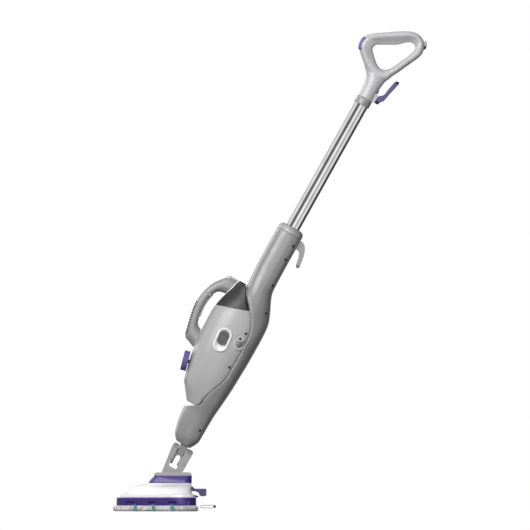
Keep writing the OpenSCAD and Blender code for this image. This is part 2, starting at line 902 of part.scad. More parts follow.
neck_front = [[960, -50], [975, -50.2], [990, -51.3], [1000, -53.2], [1008, -56.2], [1016, -62], [1024, -70]];
neck_rear = [[960, -14.6], [975, -14.6], [990, -14.4], [1000, -13.6], [1008, -12.6], [1016, -11], [1024, -9]];
neck_half = [[960, 17.6], [990, 17.4], [1010, 16.2], [1024, 14.6]];

function neck_half_ring(w, t) =
    let (f = curve(w, neck_front), r = curve(w, neck_rear), b = curve(w, neck_half), m = 10)
    [
        for (k = [0:m])
            let (g = 180 * k / m)
            [(f + r) / 2 - ((r - f) / 2 - t) * cos(g), -(b - t) * sin(g), w]
    ];

grip_screw_at = [[-89, 1068, 12.6], [19.5, 1112, 12.6], [-35, 1023.5, 13]];

module grip_half() {
    skin_loop([
        for (s = [0:47])
            let (u = s / 2)
            concat(loop_half(u, 0), reversed(loop_half(u, wall)))
    ]);
    skin_shell([
        for (w = [960, 975, 990, 1000, 1008, 1016, 1023])
            concat(neck_half_ring(w, 0), reversed(neck_half_ring(w, w < 1001 ? 1.5 : wall)))
    ]);
}

module grip_cuts() {
    translate([tube_v, 0, 940]) cylinder(r = tube_r + 0.03, h = tube_high - 940 + 1);
    translate([tube_v, 0, lock_w]) rotate([0, 90, 0]) cylinder(r = lock_hole_r, h = 30);
    across(6.2) polygon([[17, 1133], [27, 1150], [40, 1140], [40, 1119], [25, 1119]]);
}

module grip_left() {
    color(silver)
        leaning()
            difference() {
                union() {
                    grip_half();
                    for (p = grip_screw_at)
                        screw_boss(p);
                }
                grip_cuts();
                for (p = grip_screw_at)
                    bar_y(p[0], p[1], screw_r + 0.1, -p[2] + 2.6, 1);
            }
}

module grip_right() {
    color(silver)
        leaning()
            difference() {
                union() {
                    mirror([0, 1, 0]) grip_half();
                    for (p = grip_screw_at)
                        mirror([0, 1, 0]) screw_boss(p);
                }
                grip_cuts();
                for (p = grip_screw_at) {
                    bar_y(p[0], p[1], screw_r + 0.1, -1, long);
                    bar_y(p[0], p[1], screw_head_r + 0.4, p[2] - 3, long);
                }
            }
}

module grip_rim() {
    color(frame_grey)
        leaning()
            translate([tube_v, 0, 0])
                rotate_extrude()
                    translate([tube_r + 0.03, 0])
                        polygon([[0, 943.5], [1.6, 943.5], [2.4, 945], [2.4, 958], [1.6, 959.9], [0, 959.9]]);
}

// rings of the purple insert that wraps the nose of the grip
function accent_ring(u, t) =
    let (
        o = closed_point(u, loop_out),
        i = closed_point(u, loop_in),
        c = (o + i) / 2,
        a = norm(o - i) / 2,
        d = (o - i) / norm(o - i)
    )
    [
        for (k = [-4:4])
            let (g = 14 * k, p = c + d * (a + t) * cs(g))
            [p[0], -(grip_half_y + t) * sn(g), p[1]]
    ];

module grip_accent() {
    color(lilac)
        leaning()
            skin_shell([
                for (u = [4.6:0.3:7.31])
                    concat(accent_ring(u, 1.4), reversed(accent_ring(u, 0.12)))
            ]);
}

module grip_end_cap() {
    color(shell_grey)
        leaning()
            across(5.9)
                polygon([[18.5, 1133], [24, 1141], [28, 1138.5], [31, 1132], [31.3, 1130.2], [22, 1127]]);
}

module end_cap_pad() {
    color(dark)
        leaning()
            across(5.9)
                polygon([[22.2, 1126.8], [31.4, 1130], [32.2, 1124.5], [30.5, 1121.5], [25.8, 1120.5]]);
}

hook_w = 970;

module hook_bracket() {
    color(silver)
        leaning()
            difference() {
                union() {
                    translate([-18, -9, 961.5]) cube([8.2, 18, 20]);
                    translate([-13, -9, 961.5]) rotate([-90, 0, 0]) cylinder(r = 0.4, h = 18);
                }
                translate([-32.3, 0, 950]) cylinder(r = 17.95, h = 60);
                translate([-14, 0, hook_w]) rotate([0, 90, 0]) cylinder(r = 2.5, h = 30);
            }
}

module hook_pin() {
    color(steel)
        leaning() {
            translate([-13.9, 0, hook_w]) rotate([0, 90, 0]) cylinder(r = 2.5, h = 14);
            translate([-1.3, 0, hook_w]) rotate([0, 90, 0]) cylinder(r = 4, h = 1.2);
        }
}

module cord_hook() {
    color(purple)
        leaning()
            difference() {
                intersection() {
                    across(8.5)
                        polygon([
                            [-9.5, 962], [-9.5, 977.5], [-7, 981], [-3.5, 983.5], [0, 987], [1.6, 992],
                            [2.5, 1000], [4.6, 1012], [7.6, 1024], [10, 1028], [13.5, 1030.2], [17, 1029],
                            [18.2, 1025.5], [15, 1012], [11.8, 1000], [8.8, 985], [6.8, 975.5], [2, 970.5],
                            [0.2, 966], [-1, 962]
                        ]);
                    translate([0, 0, hook_w]) rotate([0, 90, 0]) linear_extrude(60, center = true) {
                        circle(8.5);
                        translate([-52, 0]) circle(8.5);
                        translate([-52, -8.5]) square([52, 17]);
                    }
                }
                translate([-20, 0, hook_w]) rotate([0, 90, 0]) cylinder(r = 2.5 + running, h = 40);
                translate([-1.4, 0, hook_w]) rotate([0, 90, 0]) cylinder(r = 4.4, h = 40);
                translate([-1, -4, 990]) cube([30, 8, 30]);
            }
}

module tube_lock_button() {
    color(frame_grey)
        leaning()
            translate([tube_v, 0, lock_w]) rotate([0, 90, 0]) {
                translate([0, 0, 12]) cylinder(r = 4.3, h = 7.6);
                translate([0, 0, 19.5]) cylinder(r = 3.4, h = 1);
            }
}

module tube_lock_spring() {
    color(steel)
        leaning()
            across(4)
                polygon([
                    [tube_v - 13.6, 975], [tube_v - 12.8, 975], [tube_v - 12.8, 996.5], [tube_v + 8, 985],
                    [tube_v + 8.4, 985.6], [tube_v - 12.8, 998.5], [tube_v - 13.6, 998.5]
                ]);
}

module grip_screws() {
    color(steel)
        leaning()
            mirror([0, 1, 0])
                for (p = grip_screw_at) {
                    bar_y(p[0], p[1], screw_head_r, -p[2] + 0.8, -p[2] + 2.98);
                    bar_y(p[0], p[1], screw_r, -p[2] + 0.8, p[2] - 5);
                }
}

// ---------- handheld unit ----------

top_tilt = 0.33;
unit_top = 391;

tilt_from = 330;
tilt_to = 463;

// tilt of the section that starts at height w on the front edge
function tilt(w) =
    w < tilt_from ? 0
    : w <= unit_top ? top_tilt * (w - tilt_from) / (unit_top - tilt_from)
    : top_tilt * max(0, (tilt_to - w) / (tilt_to - unit_top));

// rear limit of a tilted section, found by stepping along the dock line
function dock_v_at(w, k = 6, v = -30) =
    k == 0 ? v : dock_v_at(w, k - 1, 0.5 * v + 0.5 * lookup(w + tilt(w) * (v + 100), dock_line));

function unit_point(w, a, t) =
    let (
        hi = dock_v_at(w) - dock_gap,
        g = body_point(w, a, t, -1000, hi, false),
        p = body_point(w + tilt(w) * (g[0] + 100), a, t, -1000, hi, false)
    )
    [p[0], p[1], w + tilt(w) * (p[0] + 100)];

// half ring of the unit: outside first, then the flat face towards the frame
function unit_half(w, t) =
    let (
        hi = dock_v_at(w) - dock_gap,
        s = body_size(w, false),
        cut = cross_angle(hi - t, s[0], s[1] - t),
        a = min(180 - face_from, cut),
        edge = unit_point(w, a, t)[1],
        outside = [for (j = [0:arc_steps]) unit_point(w, a * j / arc_steps, t)],
        face = [
            for (j = [1:face_steps])
                cut < 180 - face_from
                ? [hi - t, edge * (1 - j / face_steps), w + tilt(w) * (hi - t + 100)]
                : unit_point(w, a + (180 - a) * j / face_steps, t)
        ]
    )
    concat(outside, face);

unit_w = [171.6, 176, 183, 191, 200, 210, 222, 236, 250, 268, 290, 312, 330, 348, 364, 378, unit_top];

module unit_half_shell() {
    skin_shell([for (w = unit_w) concat(unit_half(w, 0), reversed(unit_half(w, wall)))]);
}

unit_screw_at = [for (p = [[-7.5, 367], [-3, 283]]) screw_spot(p[0], p[1], false)];

// knob axis: forward and slightly down
knob_v = -91.6;
knob_w = 250;
knob_a = -104.6;
module knob_axis() {
    translate([knob_v, 0, knob_w]) rotate([0, knob_a, 0]) children();
}

bezel_v = -47.5;
bezel_w = 329.5;
bezel_a = -5;
bezel_y = -50.5;
// placed at the middle of the oblong switch, y outwards is negative
module at_bezel() {
    translate([bezel_v, 0, bezel_w]) rotate([0, bezel_a, 0]) children();
}

// oblong outline in (x, z), r wide, half the distance between its round ends s
module oblong(r, s) {
    translate([0, s]) circle(r);
    translate([0, -s]) circle(r);
    square([2 * r, 2 * s], center = true);
}

gland_v = -10;
gland_w = 339;

module unit_cuts() {
    knob_axis() translate([0, 0, -20]) cylinder(r = 5.5, h = 40);
    dock_axis() translate([0, 0, -8]) cylinder(r = 7.1, h = 30);
}

module unit_left() {
    color(shell_grey)
        leaning()
            difference() {
                union() {
                    unit_half_shell();
                    for (p = unit_screw_at)
                        screw_boss(p);
                }
                for (p = unit_screw_at)
                    screw_hole(p);
                unit_cuts();
                at_bezel() across_from(-80, -20) oblong(16.55, 11);
                bar_y(gland_v, gland_w, 13.05, -80, -30);
            }
}

module unit_right() {
    color(shell_grey)
        leaning()
            difference() {
                union() {
                    mirror([0, 1, 0]) unit_half_shell();
                    for (p = unit_screw_at)
                        mirror([0, 1, 0]) screw_boss(p);
                }
                for (p = unit_screw_at)
                    bar_y(p[0], p[1], screw_r + 0.1, -1, p[2] - 4);
                unit_cuts();
            }
}

// ring of the strip that lies over the front seam
function strip_ring(w, t) = [
    for (k = [-4:4])
        let (p = body_point(w, abs(7 * k), -t, -1000, 1000, false))
        [p[0], sign(k) * p[1], p[2]]
];

module front_strip() {
    color(frame_grey)
        leaning()
            difference() {
                skin_shell([
                    for (w = [203, 212, 222, 236, 250, 265, 280])
                        concat(strip_ring(w, 1.5), reversed(strip_ring(w, 0.15)))
                ]);
                knob_axis() translate([0, 0, -20]) cylinder(r = 5.5, h = 40);
            }
}

tank_w = [391.4, 402, 414, 426, 438, 449, 457, 462.8];

function tank_ring(w, t) =
    let (half = unit_half(w, t))
    concat(half, [for (i = [section_steps - 1:-1:1]) [half[i][0], -half[i][1], half[i][2]]]);

cap_v = -71;
module water_tank() {
    color(smoke)
        leaning()
            difference() {
                skin([for (w = tank_w) tank_ring(w, 0)]);
                skin([for (w = [394.5, 402, 414, 426, 438, 449, 455, 460]) tank_ring(w, 2)]);
                translate([cap_v, 0, 450]) cylinder(r = 7.2, h = 30);
            }
}

module tank_cap() {
    color(dark)
        leaning()
            difference() {
                union() {
                    translate([cap_v, 0, 459]) cylinder(r = 7.1, h = 4);
                    translate([cap_v, 0, 462.9]) cylinder(r = 8.6, h = 2);
                }
                translate([cap_v, 0, 450]) cylinder(r = 5, h = 11);
                translate([cap_v - 1, -6, 463.9]) cube([2, 12, 3]);
            }
}

// outer and inner outline of the carry handle, point for point, top to bottom
handle_out = [
    [-81.9, 463.3], [-92, 463.6], [-100, 463.2], [-106.5, 459], [-113, 451.5], [-120.5, 442.5],
    [-127.5, 432.5], [-133, 421], [-137, 409], [-140.3, 394], [-141.3, 379], [-140.3, 362],
    [-137.5, 346], [-134, 330], [-130.5, 314.5], [-126.6, 300], [-122, 293.6], [-113, 290.2], [-96, 283.2]
];
handle_in = [
    [-92.6, 424.6], [-95, 424], [-98.5, 423.2], [-103, 422.4], [-107, 421], [-111, 418], [-114.5, 412],
    [-117.3, 404.5], [-119.3, 396], [-120.6, 387], [-121.1, 377], [-120.3, 364], [-118.4, 352],
    [-116.6, 342.5], [-114, 335.5], [-109.8, 330.8], [-106, 328.6], [-103, 327.2], [-100.9, 326]
];
handle_half_y = 12.5;

function handle_ring(k, t) =
    let (
        o = handle_out[k],
        i = handle_in[k],
        c = (o + i) / 2,
        a = norm(o - i) / 2 - t,
        d = (o - i) / norm(o - i)
    )
    [
        for (j = [0:15])
            let (g = 360 * j / 16, p = c + d * a * cs(g))
            [p[0], -(handle_half_y - t) * sn(g), p[1]]
    ];

trigger_v = -122;
trigger_w = 405;

module carry_handle() {
    last = len(handle_out) - 1;
    color(frame_grey)
        leaning()
            difference() {
                skin_loop(concat(
                    [for (k = [0:last]) handle_ring(k, 0)],
                    [for (k = [last:-1:0]) handle_ring(k, wall)]
                ));
                across(7.6)
                    polygon([
                        [-110, 412.5], [-127, 412.5], [-133, 396], [-133.5, 372], [-132.6, 347.5], [-110, 347.5]
                    ]);
                bar_y(trigger_v, trigger_w, 1.5, -11.6, 11.6);
                across(7.6) polygon([[-86, 470], [-86, 458], [-109.6, 458], [-109.6, 470]]);
            }
}

// index of the handle outline's span that holds height w, counted down from the top
function handle_span(w, k = 0) =
    (handle_out[k][1] >= w && handle_out[k + 1][1] < w) ? k : handle_span(w, k + 1);

// arc round the outside of the handle at height w, standing off by t
function rib_arc(w, t) =
    let (
        k = handle_span(w),
        f = (handle_out[k][1] - w) / (handle_out[k][1] - handle_out[k + 1][1]),
        a = handle_ring(k, -t),
        b = handle_ring(k + 1, -t),
        n = len(a)
    )
    [for (j = [-2:2]) a[(j + n) % n] * (1 - f) + b[(j + n) % n] * f];

rib_count = 15;
rib_step = 5.3;
rib_h = 3;
rib_top = 377.5;

// small black ribs that wrap the outside of the handle
module handle_strip() {
    seat = 0.1;
    rise = 1.1;
    color(dark)
        leaning()
            for (i = [0:rib_count - 1])
                let (w = rib_top - i * rib_step)
                skin_shell([
                    for (h = [w - rib_h, w])
                        concat(rib_arc(h, rise), reversed(rib_arc(h, seat)))
                ]);
}

module steam_trigger() {
    color(dark)
        leaning()
            difference() {
                across(7)
                    polygon([
                        [-114.6, 409.5], [-115.9, 403.5], [-117.7, 395], [-118.9, 386.5], [-119.3, 377],
                        [-118.6, 364.5], [-116.8, 353], [-117.5, 349.5], [-121, 349.5], [-126.5, 353],
                        [-128.6, 364], [-129.2, 377], [-128.8, 388], [-127.4, 397], [-125.5, 405], [-122.5, 409.5]
                    ]);
                bar_y(trigger_v, trigger_w, 1.5 + running, -long, long);
            }
}

module trigger_pin() {
    color(steel) leaning() bar_y(trigger_v, trigger_w, 1.5, -11.5, 11.5);
}

module release_button() {
    color(silver)
        leaning()
            across(7.2)
                polygon([
                    [-86.5, 464.6], [-86.5, 460.4], [-104, 460.4], [-107.6, 460.7], [-104.5, 463.2], [-101, 464.6]
                ]);
}

module steam_knob() {
    flutes = 24;
    color(lilac)
        leaning()
            knob_axis() {
                difference() {
                    union() {
                        cylinder(r = knob_r, h = knob_t);
                        translate([0, 0, -24]) cylinder(r = 4, h = 25);
                    }
                    translate([0, 0, knob_t - 2]) cylinder(r = knob_r - 5, h = 5);
                    for (i = [0:flutes - 1])
                        rotate([0, 0, i * 360 / flutes])
                            translate([knob_r + 1.3, 0, 2]) cylinder(r = 2.2, h = knob_t);
                    translate([0, 0, -1]) difference() {
                        cylinder(r = knob_r - 3, h = 4);
                        cylinder(r = 8, h = 4);
                    }
                }
                translate([0, 0, knob_t - 2.5]) cylinder(r = 6, h = 2.5);
            }
}

module steam_valve() {
    color(steel)
        leaning()
            knob_axis()
                difference() {
                    union() {
                        translate([0, 0, -36]) cylinder(r = 8, h = 26);
                        translate([0, 0, -39]) cylinder(r = 3.5, h = 4);
                    }
                    translate([0, 0, -24.5]) cylinder(r = 4 + running, h = 30);
                    translate([0, 0, -60]) cylinder(r = 2, h = 40);
                }
}

module switch_bezel() {
    color(white)
        leaning()
            at_bezel()
                difference() {
                    union() {
                        across_from(-58.2, -44) oblong(16.5, 11);
                        across_from(-46, -44) oblong(18.5, 11);
                    }
                    across_from(-70, bezel_y) oblong(12, 12);
                }
}

module mode_switch() {
    color(dark)
        leaning()
            at_bezel()
                translate([0, 0, 4.2]) {
                    difference() {
                        across_from(-56.6, bezel_y - 0.2) oblong(11.6, 4.9);
                        bar_y(0, 0, 9, -60, -55.8);
                    }
                    bar_y(0, 0, 8, -56.6, -55.6);
                }
}

gland_tilt = 30;
module gland_stub_axis() {
    translate([gland_v, -50, gland_w - 2]) rotate([90 - gland_tilt, 0, 0]) rotate([0, -6, 0]) children();
}

module cord_gland() {
    color(shell_grey)
        leaning()
            difference() {
                union() {
                    bar_y(gland_v, gland_w, 13, -56.4, -44);
                    gland_stub_axis() cylinder(r = 9.2, h = 20);
                    gland_stub_axis() cylinder(r = 8.2, h = 28);
                }
                gland_stub_axis() translate([0, 0, -20]) cylinder(r = gland_bore_r, h = 60);
                bar_y(gland_v, gland_w, 6, -48, -30);
            }
}

module boiler() {
    color(steel)
        leaning()
            difference() {
                union() {
                    translate([-34, 0, 235]) cylinder(r = 18, h = 65);
                    translate([-34, 0, 230]) cylinder(r = 12, h = 75);
                    translate([-34, 0, 304]) cylinder(r = 5, h = 10);
                }
                translate([-34, 0, 237]) cylinder(r = 16, h = 61);
            }
}

module pump() {
    color(dark)
        leaning() {
            translate([-66, -14, 345]) cube([28, 28, 32]);
            translate([-52, 0, 377]) cylinder(r = 9, h = 14);
            translate([-52, 0, 327]) cylinder(r = 5, h = 19);
        }
}

module circuit_board() {
    color([0.10, 0.35, 0.18])
        leaning()
            difference() {
                translate([-34, 20, 318]) cube([20, 1.6, 62]);
                for (w = [322, 376])
                    bar_y(-24, w, 1.5, 10, 30);
            }
}

module nozzle() {
    color(steel)
        leaning()
            dock_axis()
                difference() {
                    union() {
                        translate([0, 0, -16]) cylinder(r = 7, h = 29);
                        translate([0, 0, -12]) cylinder(r = 10, h = 3);
                    }
                    translate([0, 0, -20]) cylinder(r = 3, h = 50);
                }
}

module unit_screws() {
    color(steel) leaning() side_screws(unit_screw_at);
}

sole_plate();
steam_plate();
head_cover();
head_trim();
neck_collar();
vent_inserts();
microfibre_pad();
pad_stripes();
pull_loop();
loop_tip();
foot_pedal();
pedal_pin();
pedal_spring();
rear_bumper();
head_screws();
pitch_axle();
head_hose();
swivel_fork();
roll_pin();
swivel_tongue();
frame_left();
frame_right();
socket_collar();
fixed_hook();
frame_screws();
steam_pipe();
dock_seal();
main_tube();
grip_left();
grip_right();
grip_rim();
grip_accent();
grip_end_cap();
end_cap_pad();
hook_bracket();
hook_pin();
cord_hook();
tube_lock_button();
tube_lock_spring();
grip_screws();
unit_left();
unit_right();
front_strip();
water_tank();
tank_cap();
carry_handle();
handle_strip();
steam_trigger();
trigger_pin();
release_button();
steam_knob();
steam_valve();
switch_bezel();
mode_switch();
cord_gland();
boiler();
pump();
circuit_board();
nozzle();
unit_screws();
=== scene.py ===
"""Steam mop: finished surfaces, materials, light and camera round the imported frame."""

import json
from math import acos, atan2, copysign, cos, degrees, pi, radians, sin, sqrt, tan

import bmesh
import bpy
import numpy as np
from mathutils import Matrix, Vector

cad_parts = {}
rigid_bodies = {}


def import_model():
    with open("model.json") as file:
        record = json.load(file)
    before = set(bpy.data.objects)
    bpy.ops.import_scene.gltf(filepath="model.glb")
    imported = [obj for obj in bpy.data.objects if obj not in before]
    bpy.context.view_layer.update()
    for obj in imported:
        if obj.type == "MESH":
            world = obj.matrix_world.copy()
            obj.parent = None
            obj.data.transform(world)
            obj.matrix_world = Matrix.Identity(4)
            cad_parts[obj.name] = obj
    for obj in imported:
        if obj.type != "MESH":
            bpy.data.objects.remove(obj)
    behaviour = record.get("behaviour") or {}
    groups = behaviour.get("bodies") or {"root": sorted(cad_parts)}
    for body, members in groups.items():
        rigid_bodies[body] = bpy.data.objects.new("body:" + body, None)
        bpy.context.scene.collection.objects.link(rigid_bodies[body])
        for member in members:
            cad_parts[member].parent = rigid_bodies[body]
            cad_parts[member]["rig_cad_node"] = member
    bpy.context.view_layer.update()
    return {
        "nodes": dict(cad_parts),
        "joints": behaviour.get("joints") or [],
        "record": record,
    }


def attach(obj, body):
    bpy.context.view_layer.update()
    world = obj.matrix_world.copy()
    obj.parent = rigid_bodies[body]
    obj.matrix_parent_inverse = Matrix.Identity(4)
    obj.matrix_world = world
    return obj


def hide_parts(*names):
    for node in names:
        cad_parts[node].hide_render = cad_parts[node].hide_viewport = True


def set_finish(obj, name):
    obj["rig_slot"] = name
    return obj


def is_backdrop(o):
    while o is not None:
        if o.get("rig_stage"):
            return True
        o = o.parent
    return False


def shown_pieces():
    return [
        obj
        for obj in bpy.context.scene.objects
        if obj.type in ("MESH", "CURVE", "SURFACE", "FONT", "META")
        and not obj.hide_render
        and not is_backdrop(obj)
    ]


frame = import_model()
NODES = frame["nodes"]
JOINTS = {j["name"]: j for j in frame["joints"]}
SLOT_OF = {s["node"]: s["material_slot"] for s in frame["record"]["subparts"]}
BODY_OF = {n: b for b, members in frame["record"]["behaviour"]["bodies"].items() for n in members}
MM = 0.001
SCENE = bpy.context.scene

# the leaning axes of the frame: rearward and up along the mop, from the pitch axle
PIVOT = np.array(JOINTS["pitch"]["pos_m"])
REAR = np.array(JOINTS["roll"]["axis"])
UP = np.array([-REAR[2], 0.0, REAR[0]])
SIDE = np.array([0.0, 1.0, 0.0])


def leaning(points):
    """Points given as (rearward, sideways, up) in mm on the leaning axes, in metres in the row frame."""
    p = np.asarray(points, float) * MM
    return PIVOT + p[..., 0:1] * REAR + p[..., 1:2] * SIDE + p[..., 2:3] * UP


def upright(points):
    """Points given as (x, y, z) in mm in the row frame, in metres."""
    return np.asarray(points, float) * MM


# ---------- outlines, in mm ----------

FRONT_EDGE = [
    [81, -25], [84, -30.5], [93, -37.5], [100, -41], [115, -45], [130, -48], [148, -50], [162, -50.3],
    [171, -52], [180, -57.5], [199, -72], [212, -79], [225, -82.5], [250, -88], [275, -93],
    [300, -97.5], [325, -100], [350, -101.3], [380, -101.3], [395, -99.3], [410, -96], [425, -91.4],
    [445, -84.3], [463, -80.5]
]

SPINE_FRONT = [
    [395, -99.3], [416, -91], [430, -80], [445, -69], [458, -61.5], [470, -59.9], [485, -60.9],
    [510, -62], [550, -62.8], [612, -63.4]
]

REAR_EDGE = [
    [81, 7], [86, 10], [93, 14], [100, 17.3], [110, 18.5], [140, 19], [170, 20], [200, 23], [235, 26],
    [270, 27.5], [310, 29], [375, 29], [400, 27.5], [415, 24.5], [432, 18], [445, 12], [460, 5],
    [473, 0.3], [485, -1.4], [520, -2.4], [612, -2.7]
]

HALF_WIDTH = [
    [81, 18], [86, 21.5], [93, 25], [100, 27], [130, 31], [160, 35], [200, 44], [250, 51.5], [320, 55],
    [380, 53], [416, 48], [440, 43], [463, 38], [490, 33], [530, 31], [612, 30.3]
]

DOCK_LINE = [
    [81, -80], [157, -53], [162, -44], [168, -35], [173, -27], [177, -21], [190, -19], [205, -15],
    [220, -10], [235, -3], [250, 2], [265, 5], [340, 5], [360, 3], [378, 0], [390, -5], [403, -12],
    [416, -24], [427, -33], [442, -47], [455, -56], [465, -60.5], [480, -70], [612, -90]
]

LOOP_OUT = [
    [-36, 1010], [-52, 1013.5], [-67, 1022.5], [-80, 1033.8], [-92, 1044.8], [-101, 1054], [-104.2, 1065],
    [-103, 1078], [-97.5, 1088.5], [-86, 1099], [-70, 1109.6], [-50, 1123], [-30, 1135.5], [-15, 1142.8],
    [0, 1145.4], [13, 1142], [23, 1134.5], [29, 1123], [30, 1108], [25, 1093], [16, 1074], [5, 1050.5],
    [-4, 1033], [-12, 1017]
]

LOOP_IN = [
    [-34, 1036.3], [-42, 1038], [-49, 1042.5], [-58, 1050.5], [-66, 1058.5], [-71.5, 1064.5], [-73, 1069.5],
    [-72, 1074], [-69.5, 1078.5], [-64, 1081.5], [-54, 1087], [-40, 1094.5], [-26, 1103.5], [-15, 1114],
    [-6, 1120.5], [2, 1121.3], [8, 1118], [11, 1112], [10, 1104], [6, 1092], [-1.5, 1076], [-9.5, 1059],
    [-17, 1046], [-25, 1038.5]
]

# depth of the scoop on the inside of the grip, as a share of its thickness, round the loop
SCOOP = [
    [0, 0], [2, 0.1], [3.5, 0.35], [5, 0.3], [6.2, 0.2], [7.5, 0.3], [9, 0.6], [13, 0.6], [15, 0.4],
    [16.8, 0], [24, 0]
]

NECK_FRONT = [[960, -50], [975, -50.2], [990, -51.3], [1000, -53.2], [1008, -56.2], [1016, -62], [1024, -70]]

NECK_REAR = [[960, -14.6], [975, -14.6], [990, -14.4], [1000, -13.6], [1008, -12.6], [1016, -11], [1024, -9]]

NECK_HALF = [[960, 17.6], [990, 17.4], [1010, 16.2], [1024, 14.6]]

HANDLE_OUT = [
    [-81.9, 463.3], [-92, 463.6], [-100, 463.2], [-106.5, 459], [-113, 451.5], [-120.5, 442.5],
    [-127.5, 432.5], [-133, 421], [-137, 409], [-140.3, 394], [-141.3, 379], [-140.3, 362],
    [-137.5, 346], [-134, 330], [-130.5, 314.5], [-126.6, 300], [-122, 293.6], [-113, 290.2], [-96, 283.2]
]

HANDLE_IN = [
    [-92.6, 424.6], [-95, 424], [-98.5, 423.2], [-103, 422.4], [-107, 421], [-111, 418], [-114.5, 412],
    [-117.3, 404.5], [-119.3, 396], [-120.6, 387], [-121.1, 377], [-120.3, 364], [-118.4, 352],
    [-116.6, 342.5], [-114, 335.5], [-109.8, 330.8], [-106, 328.6], [-103, 327.2], [-100.9, 326]
]

# front x, rear x, half width in front and behind, corner radius, height
COVER_RINGS = [
    [-110, 59, 35, 127, 32, 32.1], [-109.3, 58.6, 35, 126, 32, 36.6], [-107.5, 57, 34, 124, 31, 38.2],
    [-99, 50.5, 32, 113, 30, 40], [-95, 49.6, 32, 106, 29, 44], [-92, 49.3, 32, 98, 28, 49],
    [-87, 49.1, 32, 87, 26, 54], [-77, 49, 33, 74, 23, 57.5], [-62, 49, 34, 60, 19, 60.5],
    [-46, 49, 35, 48, 15, 64]
]

TRIM_RINGS = [
    [-46, 49.8, 35, 46, 15, 64.1], [-45.6, 50, 34.8, 45.6, 15, 66.5], [-43.5, 50, 34, 44, 14, 70.5],
    [-40, 50, 33, 42, 13, 74.5], [-35.8, 50, 32, 39.5, 12, 78.2], [-32.3, 50, 31, 37.5, 10, 80.2]
]

ROUND_N = 2.4
WALL = 2.4
TANK_WALL = 2
FAR = 1000
DOCK_GAP = 0.8
FACE_FROM = 32
FRAME_LOW = 81
FRAME_TOP = 612
SPINE_FROM = 395
UNIT_LOW = 171.6
UNIT_TOP = 391
TOP_TILT = 0.33
TILT_FROM = 330
TILT_TO = 463
TILT_V = 100
GRIP_HALF_Y = 15
SCOOP_START = 0.55
SCOOP_REACH = 1.3
HANDLE_HALF_Y = 12.5
SEAM = 0.35
ASKEW = [0.31, 0.9, 0.2]

# holes: places as (rearward, up), radii and depths
FRAME_SCREWS = [(-11, 591), (-11, 556), (-8, 491), (9.5, 429), (8, 127)]
UNIT_SCREWS = [(-7.5, 367), (-3, 283)]
GRIP_SCREWS = [(-89, 1068, 12.6), (19.5, 1112, 12.6), (-35, 1023.5, 13)]
SCREW_R = 3.3
SCREW_HOLE = 6.2
DOCK_AT = (-24, 184)
FRAME_DOCK_R = 9.6
UNIT_DOCK_R = 7.1
KNOB_AT = (-91.6, 250)
KNOB_TURN = radians(-104.6)
KNOB_BORE_R = 5.5
SWITCH_AT = (-47.5, 329.5)
SWITCH_TURN = radians(-5)
SWITCH_HOLE = (16.55, 11)
GLAND_AT = (-10, 339)
GLAND_SEAT_R = 13.05
FILLER_V = -71
FILLER_R = 7.2
LOCK_W = 987
LOCK_HOLE_R = 4.4
HOOK_SLOT = [(-6, 587.5), (6, 587.5), (6, 611.5), (-6, 611.5)]
HOOK_SLOT_HALF = 9.1
END_CAP_SEAT = [(17, 1133), (27, 1150), (40, 1140), (40, 1119), (25, 1119)]
TRIGGER_WINDOW = [(-110, 412.5), (-127, 412.5), (-133, 396), (-133.5, 372), (-132.6, 347.5), (-110, 347.5)]
BUTTON_POCKET = [(-86, 470), (-86, 458), (-109.6, 458), (-109.6, 470)]

GROOVE_LOW = 468
GROOVE_TOP = 606
GROOVE_IN = 8.0
GROOVE_WIDTH = 1.1
GROOVE_DEPTH = 0.9
STRIP_WRAP = 28

TUBE_V = -33
TUBE_LOW = 566
TUBE_TOP = 1000
TUBE_R = 16
TUBE_WALL = 1
TUBE_SLEEVE_R = 16.03

RIB_TOP = 377.5
RIB_STEP = 5.3
RIB_H = 3.0
RIB_COUNT = 15
RIB_WRAP = 50
# height above the rib's foot and how far it stands out there
RIB_SHAPE = [(0, 0.2), (0.1, 0.6), (0.4, 1.0), (0.9, 1.15), (2.1, 1.15), (2.6, 1.0), (2.9, 0.6), (3.0, 0.2)]


# ---------- curves ----------


def curve(w, points):
    """Smooth curve through points [[position, value], ...], flat beyond its ends."""
    i = 0
    while i < len(points) - 2 and w >= points[i + 1][0]:
        i += 1

    def slope(k):
        a, b = max(k - 1, 0), min(k + 1, len(points) - 1)
        return (points[b][1] - points[a][1]) / (points[b][0] - points[a][0])

    h = points[i + 1][0] - points[i][0]
    t = min(max((w - points[i][0]) / h, 0), 1)
    return (
        points[i][1] * (2 * t**3 - 3 * t**2 + 1)
        + points[i + 1][1] * (3 * t**2 - 2 * t**3)
        + h * slope(i) * (t**3 - 2 * t**2 + t)
        + h * slope(i + 1) * (t**3 - t**2)
    )


def through(u, points, closed=False):
    """Point of a smooth curve through points, at u counted in points."""
    n = len(points)
    i = int(u)
    if not closed:
        i = min(i, n - 2)
    t = u - i

    def at(k):
        return np.array(points[k % n] if closed else points[min(max(k, 0), n - 1)], float)

    a, b, c, d = at(i - 1), at(i), at(i + 1), at(i + 2)
    return 0.5 * (
        2 * b + (c - a) * t + (2 * a - 5 * b + 4 * c - d) * t**2 + (3 * b - a - 3 * c + d) * t**3
    )




def straight(w, points):
    return float(np.interp(w, [p[0] for p in points], [p[1] for p in points]))


def squared_off(value):
    """Sine or cosine for a section that is squarer than an ellipse."""
    return copysign(abs(value) ** (2 / ROUND_N), value)


def steps(low, high, step):
    count = max(int(round((high - low) / step)), 1)
    return [low + (high - low) * i / count for i in range(count + 1)]


# ---------- sections of the frame and the handheld unit ----------


def body_size(w, is_frame):
    front = curve(w, SPINE_FRONT) if is_frame and w > SPINE_FROM else curve(w, FRONT_EDGE)
    rear = curve(w, REAR_EDGE)
    return (front + rear) / 2, (rear - front) / 2, curve(w, HALF_WIDTH)


